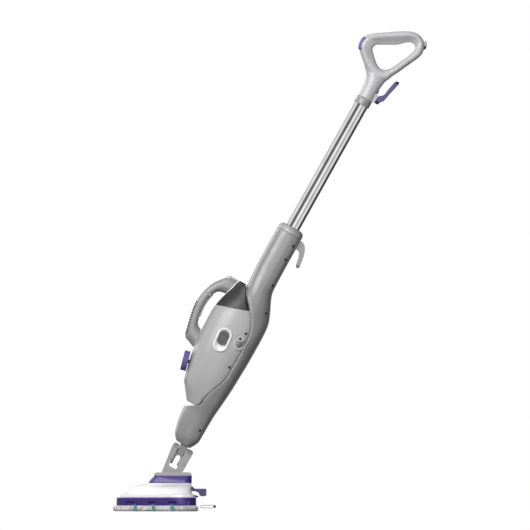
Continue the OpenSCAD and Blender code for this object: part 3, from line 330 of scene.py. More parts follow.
def body_point(w, angle, t, low, high, size):
    a = radians(angle)
    v = size[0] - (size[1] - t) * squared_off(cos(a))
    y = -(size[2] - t) * squared_off(sin(a))
    return [min(max(v, low + t), high - t), y, w]


def cross_angle(s, size, t):
    q = (size[0] - s) / (size[1] - t)
    if q >= 1:
        return 0
    if q <= -1:
        return 180
    return degrees(acos(copysign(abs(q) ** (ROUND_N / 2), q)))


def frame_half(w, t, face_n=12, arc_n=44):
    """Half section of the frame on the left side, from the dock face round to the back."""
    low = straight(w, DOCK_LINE)
    size = body_size(w, True)
    cut = cross_angle(low + t, size, t)
    a = max(FACE_FROM, cut)
    edge = body_point(w, a, t, low, FAR, size)[1]
    if cut > FACE_FROM:
        face = [[low + t, edge * j / face_n, w] for j in range(face_n)]
    else:
        face = [body_point(w, a * j / face_n, t, low, FAR, size) for j in range(face_n)]
    outside = [body_point(w, a + (180 - a) * j / arc_n, t, low, FAR, size) for j in range(arc_n + 1)]
    return face + outside


def tilt(w):
    """Slope of the unit's sections, which rises to its top end and falls again along the tank."""
    if w < TILT_FROM:
        return 0
    if w <= UNIT_TOP:
        return TOP_TILT * (w - TILT_FROM) / (UNIT_TOP - TILT_FROM)
    return TOP_TILT * max(0, (TILT_TO - w) / (TILT_TO - UNIT_TOP))


def dock_v_at(w):
    v = -30
    for _ in range(6):
        v = 0.5 * v + 0.5 * straight(w + tilt(w) * (v + TILT_V), DOCK_LINE)
    return v


def unit_point(w, angle, t, high):
    g = body_point(w, angle, t, -FAR, high, body_size(w, False))
    at = w + tilt(w) * (g[0] + TILT_V)
    p = body_point(at, angle, t, -FAR, high, body_size(at, False))
    return [p[0], p[1], w + tilt(w) * (p[0] + TILT_V)]


def unit_half(w, t, arc_n=44, face_n=12):
    """Half section of the handheld unit, from the front seam round to the middle of the dock face."""
    high = dock_v_at(w) - DOCK_GAP
    cut = cross_angle(high - t, body_size(w, False), t)
    a = min(180 - FACE_FROM, cut)
    edge = unit_point(w, a, t, high)[1]
    outside = [unit_point(w, a * j / arc_n, t, high) for j in range(arc_n + 1)]
    if cut < 180 - FACE_FROM:
        face = [
            [high - t, edge * (1 - j / face_n), w + tilt(w) * (high - t + TILT_V)]
            for j in range(1, face_n + 1)
        ]
    else:
        face = [unit_point(w, a + (180 - a) * j / face_n, t, high) for j in range(1, face_n + 1)]
    return outside + face


def rounded(ring, passes):
    """Takes the sharp corners off half a section; the other half mirrors it across the middle plane."""
    p = np.array(ring, float)
    flip = np.array([1, -1, 1])
    for _ in range(passes):
        before = np.vstack([p[1] * flip, p[:-1]])
        after = np.vstack([p[1:], p[-2] * flip])
        p = 0.25 * before + 0.5 * p + 0.25 * after
    return p


def seamed(ring):
    """Adds a fine V groove where the two half shells meet, at both ends of half a section."""
    middle, out = ring.mean(0)[0], list(ring)
    for end in (0, -1):
        tip = out[end]
        gap = middle - tip[0]
        out[end] = tip + [gap / (abs(gap) + 1e-9) * SEAM, 0, 0]
        out.insert(len(out) - 1 if end else 1, tip + [0, -SEAM, 0])
    return np.array(out)


# ---------- meshes ----------


def linked(name, data):
    """New object of the scene that shows this data."""
    obj = bpy.data.objects.new(name, data)
    SCENE.collection.objects.link(obj)
    return obj


def edit(obj, change):
    """Changes the object's mesh with a function of its bmesh."""
    bm = bmesh.new()
    bm.from_mesh(obj.data)
    change(bm)
    bm.to_mesh(obj.data)
    bm.free()


def mesh_object(name, points, faces):
    """Closed mesh with every face looking outwards."""
    mesh = bpy.data.meshes.new(name)
    mesh.from_pydata([tuple(p) for p in points], [], faces)
    mesh.validate()
    obj = linked(name, mesh)
    edit(obj, lambda bm: bmesh.ops.recalc_face_normals(bm, faces=bm.faces))
    return obj


def stands_for(obj, node):
    """The object takes a CAD node's place, body and slot."""
    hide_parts(node)
    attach(obj, BODY_OF[node])
    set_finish(obj, SLOT_OF[node])


def new_piece(name, part, node, to_world=leaning):
    """A visible piece from (points in mm, faces) that stands for a CAD node."""
    obj = mesh_object(name, *placed(part, to_world))
    stands_for(obj, node)
    return obj


def shade(obj, angle=35):
    obj.data.shade_smooth()
    obj.data.set_sharp_from_angle(angle=radians(angle))


def turns(count):
    return np.linspace(0, 2 * pi, count, endpoint=False)


def loft_faces(rings, count, closed=False, caps=True):
    """Faces over rings of count points: the last ring joins the first, or caps close both ends."""
    faces = []
    for i in range(rings if closed else rings - 1):
        a, b = i * count, ((i + 1) % rings) * count
        for j in range(count):
            k = (j + 1) % count
            faces.append((a + j, a + k, b + k, b + j))
    if caps and not closed:
        faces.append(tuple(range(count - 1, -1, -1)))
        faces.append(tuple(range((rings - 1) * count, rings * count)))
    return faces


def loft(rings, closed=False):
    """Closed surface over rings of equally many points, as (points, faces)."""
    return np.vstack(rings), loft_faces(len(rings), len(rings[0]), closed)


def joined(parts):
    """Several (points, faces) as one."""
    points, faces = [], []
    for part_points, part_faces in parts:
        base = len(points)
        points += [tuple(p) for p in part_points]
        faces += [tuple(base + i for i in f) for f in part_faces]
    return points, faces


def placed(part, to_world=leaning):
    """The same part with its points in metres."""
    return to_world(part[0]), part[1]


def rod(start, end, radius, sides=48, to_world=leaning):
    """Closed round bar between two points in mm, placed."""
    a, b = to_world([start, end])
    axis = (b - a) / np.linalg.norm(b - a)
    one = np.cross(axis, ASKEW)
    one /= np.linalg.norm(one)
    two = np.cross(axis, one)
    spokes = [radius * MM * (cos(g) * one + sin(g) * two) for g in turns(sides)]
    return loft([[end + spoke for spoke in spokes] for end in (a, b)])


def prism(outline, half, middle=0):
    """Closed prism of a (rearward, up) outline across the width, placed."""
    return placed(loft([[(v, middle + s * half, w) for v, w in outline] for s in (-1, 1)]))


def boxed(x0, x1, half, z0, z1):
    """Box across the middle plane, in mm in the row frame, placed."""
    outline = [(x0, -half), (x1, -half), (x1, half), (x0, half)]
    return placed(loft([[(*p, z) for p in outline] for z in (z0, z1)]), upright)


def applied(obj):
    """Applies the object's modifiers to its mesh."""
    graph = bpy.context.evaluated_depsgraph_get()
    graph.update()
    mesh = bpy.data.meshes.new_from_object(obj.evaluated_get(graph))
    old = obj.data
    obj.modifiers.clear()
    obj.data = mesh
    bpy.data.meshes.remove(old)


def carve(obj, parts, angle=35):
    """Cuts placed parts out of obj and shades it smooth up to an angle."""
    tool = mesh_object("cutter", *joined(parts))
    mod = obj.modifiers.new("carve", "BOOLEAN")
    mod.operation = "DIFFERENCE"
    mod.object = tool
    mod.solver = "EXACT"
    mod.use_self = True
    applied(obj)
    bpy.data.meshes.remove(tool.data)
    shade(obj, angle)


def evened(obj, voxel, passes=0):
    """Remeshes obj evenly, with smoothing passes that round its edges."""
    even = obj.modifiers.new("even", "REMESH")
    even.mode = "VOXEL"
    even.voxel_size = voxel * MM
    if passes:
        smooth = obj.modifiers.new("round", "SMOOTH")
        smooth.factor = 0.5
        smooth.iterations = passes
    applied(obj)


def half_shells(stem, half, levels, cuts):
    """Left and right half shells with a wall; cuts(is_left) gives what is cut out of each."""
    lip = [0, -0.2, 0]
    rings = []
    for w, t in levels:
        r = rounded(half(w, WALL), 3)
        inner = np.vstack([r[:1], r[:1] + lip, r[1:-1], r[-1:] + lip, r[-1:]])
        rings += [seamed(rounded(half(w, t), 3)), inner[::-1]]
    points, n, width = np.vstack(rings), len(rings[0]), 2 * len(rings[0])
    faces = loft_faces(len(levels), width, caps=False)
    for base in (0, len(points) - width):
        faces += [(base + j, base + j + 1, base + width - 2 - j, base + width - 1 - j) for j in range(n - 1)]
    for side, flip in (("left", 1), ("right", -1)):
        obj = new_piece(f"{stem}_shell_{side}", (points * [1, flip, 1], faces), f"{stem}_{side}")
        carve(obj, cuts(side == "left"))


def soft_copy(node, voxel, passes):
    """Copy of a CAD node with its edges rounded as moulded parts have them."""
    obj = linked(node + "_moulded", NODES[node].data.copy())
    edit(obj, lambda bm: bmesh.ops.remove_doubles(bm, verts=bm.verts, dist=1e-6))
    obj.data.materials.clear()
    evened(obj, voxel, passes)
    stands_for(obj, node)
    obj.data.shade_smooth()


# ---------- frame, handheld unit and tank ----------


def skin(v, size):
    """Half width of a section of this size at v."""
    share = min(abs(v - size[0]) / size[1], 1)
    return size[2] * (1 - share**ROUND_N) ** (1 / ROUND_N)


def screw_holes(places, is_frame):
    """Screw holes in the left side at (rearward, up)."""
    tips = [(v, w, SCREW_HOLE - (skin(v + 3, body_size(w, is_frame)) - 0.8)) for v, w in places]
    return [rod((v, -200, w), (v, y, w), SCREW_R, 32) for v, w, y in tips]


def dock_hole(low, high, radius):
    """Round hole along the sloping steam dock, between two distances from its middle."""
    ends = [(DOCK_AT[0] + t / sqrt(2), 0, DOCK_AT[1] - t / sqrt(2)) for t in (low, high)]
    return rod(*ends, radius)


def front_groove(side):
    """Cutter for the line that runs down the side of the frame, just behind its front edge."""
    rings = []
    for w in steps(GROOVE_LOW, GROOVE_TOP, 3):
        size = body_size(w, True)
        depth = GROOVE_DEPTH * min((w - GROOVE_LOW) / 20, 1)
        near, far = (size[0] - size[1] + v for v in (GROOVE_IN, GROOVE_IN + GROOVE_WIDTH))
        y, y_far = skin(near, size), skin(far, size)
        ring = [(near, y + 2, w), (near, y - depth, w), (far, y_far - depth, w), (far, y_far + 2, w)]
        rings.append(np.array(ring) * [1, side, 1])
    return placed(loft(rings))


def frame_shells():
    ends = [(0, 1.4), (0.25, 0.5), (0.9, 0.12)]
    levels = [(FRAME_LOW + d, t) for d, t in ends]
    levels += [(w, 0) for w in steps(FRAME_LOW + 2, FRAME_TOP - 2, 2.6)]
    levels += [(FRAME_TOP - d, t) for d, t in ends[::-1]]

    def cuts(is_left):
        parts = [dock_hole(-6, 20, FRAME_DOCK_R), prism(HOOK_SLOT, HOOK_SLOT_HALF)]
        if is_left:
            parts += screw_holes(FRAME_SCREWS, True)
        return parts + [front_groove(-1 if is_left else 1)]

    half_shells("frame", frame_half, levels, cuts)


def knob_hole():
    v, w = KNOB_AT
    ends = [(v + t * sin(KNOB_TURN), 0, w + t * cos(KNOB_TURN)) for t in (-20, 20)]
    return rod(*ends, KNOB_BORE_R)


def oblong(r, s, count=28):
    """Outline of the switch, r wide with round ends s from its middle, as (rearward, up) points in mm."""
    pts = []
    for centre, start in ((s, 0), (-s, pi)):
        for i in range(count + 1):
            g = start + pi * i / count
            pts.append((r * cos(g), centre + r * sin(g)))
    c, sn = cos(SWITCH_TURN), sin(SWITCH_TURN)
    return [(SWITCH_AT[0] + x * c + z * sn, SWITCH_AT[1] - x * sn + z * c) for x, z in pts]


def unit_shells():
    levels = [(UNIT_LOW, 1.6), (UNIT_LOW + 0.3, 0.6), (UNIT_LOW + 1.1, 0.1)]
    levels += [(w, 0) for w in steps(UNIT_LOW + 2.4, UNIT_TOP - 2.2, 2.2)]
    levels += [(UNIT_TOP - 1.1, 0.1), (UNIT_TOP - 0.3, 0.6), (UNIT_TOP, 1.5)]

    def cuts(is_left):
        parts = [knob_hole(), dock_hole(-8, 22, UNIT_DOCK_R)]
        if is_left:
            v, w = GLAND_AT
            parts += screw_holes(UNIT_SCREWS, False)
            parts.append(prism(oblong(*SWITCH_HOLE), 30, middle=-50))
            parts.append(rod((v, -80, w), (v, -30, w), GLAND_SEAT_R, 64))
        return parts

    half_shells("unit", unit_half, levels, cuts)


def whole(half):
    """Closes half a section into a whole one."""
    return np.vstack([half, half[-2:0:-1] * [1, -1, 1]])


def tank():
    levels = [(391.4, 1.2), (391.7, 0.4), (392.6, 0)] + [(w, 0) for w in steps(394, 457, 2)]
    levels += [(458.5, 0.15), (460.2, 0.6), (461.6, 1.5), (462.5, 2.8), (462.8, 4.4)]
    outer = [whole(rounded(unit_half(w, t), 4)) for w, t in levels]
    inner = [whole(rounded(unit_half(w, TANK_WALL), 4)) for w in steps(394.5, 460, 3)]
    obj = new_piece("tank_body", joined([loft(outer), loft(inner)]), "water_tank")
    carve(obj, [rod((FILLER_V, 0, 455), (FILLER_V, 0, 490), FILLER_R)])


def front_strip():
    def ring(w, t):
        size = body_size(w, False)
        half = [body_point(w, a, -t, -FAR, FAR, size) for a in np.linspace(0, STRIP_WRAP, 14)]
        return np.array([[v, -y, up] for v, y, up in half[:0:-1]] + half)

    levels = [(203, 0.2), (203.4, 0.9), (204.6, 1.4)] + [(w, 1.5) for w in steps(206, 277, 2.5)]
    levels += [(278.6, 1.4), (279.6, 0.9), (280, 0.2)]
    rows = []
    for w, t in levels:
        out, edge = ring(w, t), ring(w, t * 0.5)
        out[0], out[-1] = edge[0], edge[-1]
        rows.append(np.vstack([out, ring(w, 0.05)[::-1]]))
    carve(new_piece("seam_strip", loft(rows), "front_strip"), [knob_hole()], 50)


# ---------- carry handle ----------


def bar(u, outside, inside, closed=False):
    """Middle, half depth and outward direction of the bar between two outlines, at station u."""
    o, i = through(u, outside, closed), through(u, inside, closed)
    depth = np.linalg.norm(o - i)
    return (o + i) / 2, depth / 2, (o - i) / depth


def bar_point(section, g, t, half):
    """Point at angle g on the rounded section of a bar, standing out by t."""
    middle, depth, out = section
    p = middle + out * (depth + t) * squared_off(cos(g))
    return [p[0], -(half + t) * squared_off(sin(g)), p[1]]


def handle_ring(u, t):
    section = bar(u, HANDLE_OUT, HANDLE_IN)
    return [bar_point(section, g, -t, HANDLE_HALF_Y) for g in turns(40)]


def carry_handle():
    us = steps(0, len(HANDLE_OUT) - 1, 0.16)
    rings = [handle_ring(u, 0) for u in us] + [handle_ring(u, WALL) for u in us[::-1]]
    obj = new_piece("carry_handle_shell", loft(rings, closed=True), "carry_handle")
    carve(obj, [prism(TRIGGER_WINDOW, 7.6), prism(BUTTON_POCKET, 7.6)], 40)


def handle_ribs():
    stations = np.linspace(8, 17, 400)
    depths = [-through(u, HANDLE_OUT)[1] for u in stations]
    wrap = [radians(a) for a in np.linspace(-RIB_WRAP, RIB_WRAP, 21)]

    def arc(w, t):
        section = bar(float(np.interp(-w, depths, stations)), HANDLE_OUT, HANDLE_IN)
        lifts = [t * min(1, 0.35 + 0.33 * min(k, len(wrap) - 1 - k)) for k in range(len(wrap))]
        return [bar_point(section, g, lift, HANDLE_HALF_Y) for g, lift in zip(wrap, lifts)]

    feet = [RIB_TOP - k * RIB_STEP - RIB_H for k in range(RIB_COUNT)]
    ribs = [loft([arc(foot + h, t) + arc(foot + h, 0.06)[::-1] for h, t in RIB_SHAPE]) for foot in feet]
    shade(new_piece("grip_ribs", joined(ribs), "handle_strip"), 45)


# ---------- hand grip ----------


def thinned(u, g):
    """Share of its thickness that the scooped grip keeps at station u and angle g."""
    t = min(max((SCOOP_START - squared_off(cos(g))) / SCOOP_REACH, 0), 1)
    return 1 - curve(u, SCOOP) * t * t * (3 - 2 * t)


def loop_ring(u):
    section = bar(u, LOOP_OUT, LOOP_IN, True)
    return [bar_point(section, g, 0, GRIP_HALF_Y * thinned(u, g)) for g in turns(48)]


def neck_ring(w):
    f, r, b = curve(w, NECK_FRONT), curve(w, NECK_REAR), curve(w, NECK_HALF)
    return [[(f + r) / 2 - (r - f) / 2 * cos(g), -b * sin(g), w] for g in turns(48)]


def lock_hole():
    return rod((TUBE_V, 0, LOCK_W), (TUBE_V + 30, 0, LOCK_W), LOCK_HOLE_R)


def halved(bm, side):
    """Keeps the part of a closed mesh on one side of the middle plane and caps it."""
    geometry = bm.verts[:] + bm.edges[:] + bm.faces[:]
    cut = bmesh.ops.bisect_plane(
        bm, geom=geometry, plane_co=(0, 0, 0), plane_no=(0, side, 0), clear_inner=True, dist=1e-7
    )
    rim = [e for e in cut["geom_cut"] if isinstance(e, bmesh.types.BMEdge)]
    bmesh.ops.triangle_fill(bm, edges=rim, use_beauty=True)
    bmesh.ops.recalc_face_normals(bm, faces=bm.faces)


def grip_shells():
    loops = [loop_ring(s / 6) for s in range(len(LOOP_OUT) * 6)]
    necks = [neck_ring(w) for w in steps(960, 1023, 2)]
    both = mesh_object("grip_whole", *placed(joined([loft(loops, closed=True), loft(necks)])))
    evened(both, 1.1, 14)
    for name, side in (("left", -1), ("right", 1)):
        obj = linked("grip_shell_" + name, both.data.copy())
        edit(obj, lambda bm: halved(bm, side))
        bevel = obj.modifiers.new("seam", "BEVEL")
        bevel.width = SEAM * MM
        bevel.segments = 2
        bevel.angle_limit = radians(50)
        applied(obj)
        parts = [rod((TUBE_V, 0, 940), (TUBE_V, 0, TUBE_TOP + 1), TUBE_SLEEVE_R, 96), lock_hole()]
        parts.append(prism(END_CAP_SEAT, 6.2))
        if side > 0:
            parts += [rod((v, y - 3, w), (v, 60, w), SCREW_R, 32) for v, w, y in GRIP_SCREWS]
        carve(obj, parts, 40)
        stands_for(obj, "grip_" + name)
    bpy.data.meshes.remove(both.data)


def grip_accent():
    angles = np.linspace(-56, 56, 25)
    us = np.linspace(4.6, 7.3, 30)
    rows = []
    for row, u in enumerate(us):
        section = bar(u, LOOP_OUT, LOOP_IN, True)
        lift = {0: 0.35, 1: 1.1}.get(min(row, len(us) - 1 - row), 1.4)
        outer = [(a, lift * (0.45 if abs(a) > 55 else 1)) for a in angles]
        ring = outer + [(a, 0.1) for a in angles[::-1]]
        rows.append([bar_point(section, radians(a), t, GRIP_HALF_Y) for a, t in ring])
    shade(new_piece("nose_insert", loft(rows), "grip_accent"), 50)


def main_tube():
    edge = 0.2
    profile = [(TUBE_R - TUBE_WALL, TUBE_LOW), (TUBE_R - edge, TUBE_LOW), (TUBE_R, TUBE_LOW + edge)]
    profile += [(TUBE_R, w) for w in steps(TUBE_LOW + 10, TUBE_TOP - 10, 12)]
    profile += [(TUBE_R, TUBE_TOP - edge), (TUBE_R - edge, TUBE_TOP), (TUBE_R - TUBE_WALL, TUBE_TOP)]
    rows = [[(TUBE_V - r * cos(g), -r * sin(g), w) for r, w in profile] for g in turns(128)]
    carve(new_piece("bright_tube", loft(rows, closed=True), "main_tube"), [lock_hole()])


# ---------- floor head ----------

SOLE_FRONT_X = -85
SOLE_REAR_X = 26
SOLE_HALF_Y = 102
SOLE_CORNER_R = 34
SOLE_Z = 13.2
SOLE_H = 18.6
SOLE_TOP = SOLE_Z + SOLE_H
SIDE_A = atan2(SOLE_HALF_Y, SOLE_REAR_X - SOLE_FRONT_X)
SLOT_X = [-88, -39.5, 5]
PAD_T = 12.6
PAD_GROW = 9.5
PAD_SHIFT = 2
STRIPE_X = [-77.5, -36, 6]
STRIPE_W = 6.4
STRIPE_RISE = 3.1
STRIPE_IN = 1.6
TRIM_TOP_Z = 80.2


def filleted(corners, r, count, edge):
    """Closed outline of arcs (x, y, from, to) joined by straight edges in equal steps."""
    arcs, pts = [], []
    for x, y, a, b in corners:
        arcs.append([(x + r * cos(g), y + r * sin(g)) for g in np.linspace(a, b, count)])
    for arc, following in zip(arcs, arcs[1:] + arcs[:1]):
        a, b = np.array(arc[-1]), np.array(following[0])
        pts += arc + [tuple(a + (b - a) * i / edge) for i in range(1, edge)]
    return pts


def triangle(grow, count=22, edge=26):
    """Rounded triangle outline of the sole, grown outwards."""
    left, right = pi / 2 + SIDE_A, 1.5 * pi - SIDE_A
    corners = [(SOLE_REAR_X, SOLE_HALF_Y, 0, left), (SOLE_FRONT_X, 0, left, right)]
    corners.append((SOLE_REAR_X, -SOLE_HALF_Y, right, 2 * pi))
    return filleted(corners, SOLE_CORNER_R + grow, count, edge)


def stacked(name, levels, outline, node):
    """Closed piece over an outline grown by g at each height z."""
    return new_piece(name, loft([[(*p, z) for p in outline(g)] for g, z in levels]), node, upright)


def side_slot(x, s, length=25, depth=4, low=18, high=23, corner=1.6):
    """Cutter for a rounded slot in the sloping side of the sole at x."""
    face = []
    for k, (right, up) in enumerate(((1, 1), (-1, 1), (-1, -1), (1, -1))):
        along, z = right * (length / 2 - corner), (high - corner if up > 0 else low + corner)
        bend = [(k + i / 4) * pi / 2 for i in range(5)]
        face += [(along + corner * cos(g), z + corner * sin(g)) for g in bend]
    y = (x - SOLE_FRONT_X) * tan(SIDE_A) + SOLE_CORNER_R / cos(SIDE_A)
    c, sn = cos(SIDE_A), sin(SIDE_A)
    rings = [[(x + p * c - d * sn, s * (y + p * sn + d * c), z) for p, z in face] for d in (-depth, depth)]
    return placed(loft(rings), upright)


def sole_plate():
    levels = [(-14, SOLE_Z + 2), (-14, SOLE_Z), (-1.6, SOLE_Z), (-0.5, SOLE_Z + 0.25), (0, SOLE_Z + 1.1)]
    levels += [(0, SOLE_Z + 6), (0, SOLE_Z + 12), (0, SOLE_TOP - 2.2), (-0.3, SOLE_TOP - 0.9)]
    levels += [(-0.9, SOLE_TOP - 0.25), (-1.6, SOLE_TOP), (-3, SOLE_TOP), (-3, SOLE_Z + 4)]
    parts = [side_slot(x, s) for x in SLOT_X for s in (-1, 1)]
    parts += [rod((43.5, s * 129, 20.5), (43.5, s * 140, 20.5), 3, 32, upright) for s in (-1, 1)]
    carve(stacked("sole_band", levels, triangle, "sole_plate"), parts, 40)


def cover_ring(section, by, z):
    """Ring of the cover or its trim at height z, set in from its section on every side."""
    f, r, hf, hr, c = np.array(section[:5]) + [by, -by, -by, -by, -by]
    b = atan2(hr - hf, r - f - 2 * c)
    left, right = pi / 2 + b, 1.5 * pi - b
    corners = [(r - c, hr - c, 0, left), (f + c, hf - c, left, pi)]
    corners += [(f + c, c - hf, pi, right), (r - c, c - hr, right, 2 * pi)]
    return [(*p, z) for p in filleted(corners, c, 14, 18)]


def smooth_rings(sections, per_span, inset=0.0):
    """Rings of the cover with smooth ones between them."""
    between = [through(s, sections) for s in steps(0, len(sections) - 1, 1 / per_span)]
    return [cover_ring(p, inset, p[5]) for p in between]


def head_cover():
    lowered = [[*c[:5], min(c[5], 61.6)] for c in COVER_RINGS]
    rings = smooth_rings(lowered, 3, WALL)[::-1] + smooth_rings(COVER_RINGS, 6)
    obj = new_piece("cover_dome", loft(rings), "head_cover", upright)
    carve(obj, [boxed(-28.9, 44.3, 25.3, 50, 80), boxed(40, 60, 31, 44.6, 59)], 40)


def head_trim():
    rings = [cover_ring(TRIM_RINGS[0], 0.8, 64.08)] + smooth_rings(TRIM_RINGS, 8)
    rings += [cover_ring(TRIM_RINGS[-1], by, TRIM_TOP_Z + h) for by, h in ((0.5, 0.25), (1.2, 0.3))]
    obj = new_piece("neck_trim", loft(rings), "head_trim", upright)
    carve(obj, [boxed(-28.9, 46.8, 27.3, 60, 90), boxed(20, 60, 18.8, 66.6, 98.4)], 40)


# ---------- soft pad ----------


def pad_outline(grow):
    return [(x - PAD_SHIFT, y) for x, y in triangle(PAD_GROW + grow, 30, 46)]


def pad():
    """Microfibre pad: a stuffed cloth skin, pressed flat below and above, that bulges at its rim."""
    flat = (-24, -18, -12, -8)
    levels = [(g, 0.35) for g in flat] + [(-4.5, 0.5), (-2.2, 1.3), (-1.6, 3.2), (-1.6, 6.2), (-1.6, 9.2)]
    levels += [(-2.4, 11.3), (-5, 12.3)] + [(g, 12.45) for g in flat[::-1]]
    obj = stacked("microfibre_pad_soft", levels, pad_outline, "microfibre_pad")
    evened(obj, 3.2)
    inflate(obj)
    finer = obj.modifiers.new("finer", "SUBSURF")
    finer.levels = finer.render_levels = 1
    applied(obj)
    loops = bpy.data.textures.new("pile", "CLOUDS")
    loops.noise_scale = 0.0042
    loops.noise_depth = 1
    pile = obj.modifiers.new("pile", "DISPLACE")
    pile.texture = loops
    pile.texture_coords = "GLOBAL"
    pile.strength = 0.9 * MM
    pile.mid_level = 0.55
    applied(obj)
    fit_between(obj, 0.35 * MM, PAD_T * MM)
    obj.data.shade_smooth()


def points_of(obj):
    return np.array([v.co for v in obj.data.vertices])


def move_points(obj, points):
    obj.data.vertices.foreach_set("co", points.ravel())
    obj.data.update()


def inflate(obj):
    """Short cloth simulation with air pressure and a cap on how far any point may move."""
    rest = points_of(obj)
    cloth = obj.modifiers.new("swell", "CLOTH")
    settings = cloth.settings
    settings.effector_weights.gravity = 0
    settings.use_pressure = True
    settings.uniform_pressure_force = 4
    settings.mass = 0.3
    settings.quality = 5
    cloth.point_cache.frame_start = 1
    cloth.point_cache.frame_end = 20
    for f in range(1, 21):
        SCENE.frame_set(f)
    applied(obj)
    SCENE.frame_set(1)
    move = points_of(obj) - rest
    length = np.linalg.norm(move, axis=1, keepdims=True)
    cap = 1.8 * MM
    move_points(obj, rest + move * np.minimum(1, cap / np.maximum(length, 1e-9)))


def fit_between(obj, low, high):
    """Presses a soft piece flat on the floor and under the sole."""
    co = points_of(obj)
    soft = 0.4 * MM
    co[:, 2] = np.clip(co[:, 2], low, None)
    over = co[:, 2] > high - soft
    co[over, 2] = high - soft + soft * np.tanh((co[over, 2] - high + soft) / soft)
    move_points(obj, co)


def pad_rim(x, s, out, z):
    """Point on the sloping rim of the pad at x, out from it, at height z."""
    r = SOLE_CORNER_R + PAD_GROW + out
    return [x, s * ((x + PAD_SHIFT - SOLE_FRONT_X) * tan(SIDE_A) + r / cos(SIDE_A)), z]


def pad_stripes():
    """Scrub bands that wrap under the pad: short bristle rows standing a little proud."""
    across = np.linspace(-STRIPE_W / 2, STRIPE_W / 2, 11)
    levels = np.linspace(PAD_T + STRIPE_RISE, 0.6, 28)

    def rim_row(x, s, z):
        lift = 0.75 - 1.9 * max(0, 1 - 2 * z / PAD_T - 0.72) ** 1.2
        tufts = [0.18 * sin(z * 4.2) + (0.22 if i % 2 else -0.22) for i in range(11)]
        tufts[0] = tufts[-1] = -0.5
        inside = -3.2 if z < PAD_T - 1 else -1.1
        row = [pad_rim(x + a, s, lift + tuft, z) for a, tuft in zip(across, tufts)]
        return row + [pad_rim(x + a, s, inside, max(z, STRIPE_IN)) for a in across[::-1]]

    def under_row(x, y):
        row = [[x + a, y, 0.12 * (1 + sin(y * 2.1 + 3 * (i % 2)))] for i, a in enumerate(across)]
        return row + [[x + a, y, STRIPE_IN] for a in across[::-1]]

    bands = []
    for x in STRIPE_X:
        near = [rim_row(x, -1, z) for z in levels]
        y0 = abs(near[-1][0][1]) - 3
        under = [under_row(x, y) for y in np.linspace(-y0, y0, 90)]
        bands.append(loft(near + under + [rim_row(x, 1, z) for z in levels[::-1]]))
    shade(new_piece("scrub_bands", joined(bands), "pad_stripes", upright), 60)


def pull_loop():
    """Flat woven tape folded into a loop behind the pad."""
    x0, x1, half, t = 68.3, 99.9, 11, 1.1
    line = [(x0, 9.0), (x0 + 8, 8.3), (x0 + 18, 8.0), (x1 - 3, 8.2), (x1 - 0.6, 9.3), (x1 - 0.2, 11.4)]
    line += [(x1 - 0.8, 13.3), (x1 - 3.2, 14.3), (x0 + 18, 14.2), (x0 + 8, 13.6), (x0, 12.0)]
    pts = [through(u, line) for u in steps(0, len(line) - 1, 0.12)]
    rows = []
    for i, p in enumerate(pts):
        d = pts[min(i + 1, len(pts) - 1)] - pts[max(i - 1, 0)]
        normal = np.array([-d[1], d[0]]) / np.linalg.norm(d)
        row = []
        for side in (-0.5, 0.5):
            for y in np.linspace(-half, half, 23) * (-2 * side):
                thick = t * (1 + 0.12 * cos(y * 2.6)) * (0.55 if abs(y) > half - 0.3 else 1)
                q = p + normal * side * thick
                row.append([q[0], y, q[1]])
        rows.append(row)
    shade(new_piece("pull_tape", loft(rows), "pull_loop", upright), 60)


# ---------- moulded parts taken from the frame, with rounded edges ----------

# node, size of the even mesh in mm, smoothing passes
SOFT_PARTS = [
    ("swivel_fork", 0.6, 12), ("swivel_tongue", 0.55, 3), ("neck_collar", 0.6, 9), ("socket_collar", 0.6, 3),
    ("fixed_hook", 0.5, 18), ("foot_pedal", 0.6, 4), ("rear_bumper", 0.4, 3), ("loop_tip", 0.35, 3),
    ("grip_rim", 0.4, 2), ("grip_end_cap", 0.35, 4), ("end_cap_pad", 0.35, 4), ("hook_bracket", 0.4, 4),
    ("cord_hook", 0.5, 16), ("tube_lock_button", 0.25, 4), ("switch_bezel", 0.3, 4), ("mode_switch", 0.25, 8),
    ("cord_gland", 0.45, 4), ("steam_trigger", 0.45, 5), ("release_button", 0.35, 4), ("steam_knob", 0.45, 4),
    ("tank_cap", 0.35, 3),
]


# ---------- materials ----------


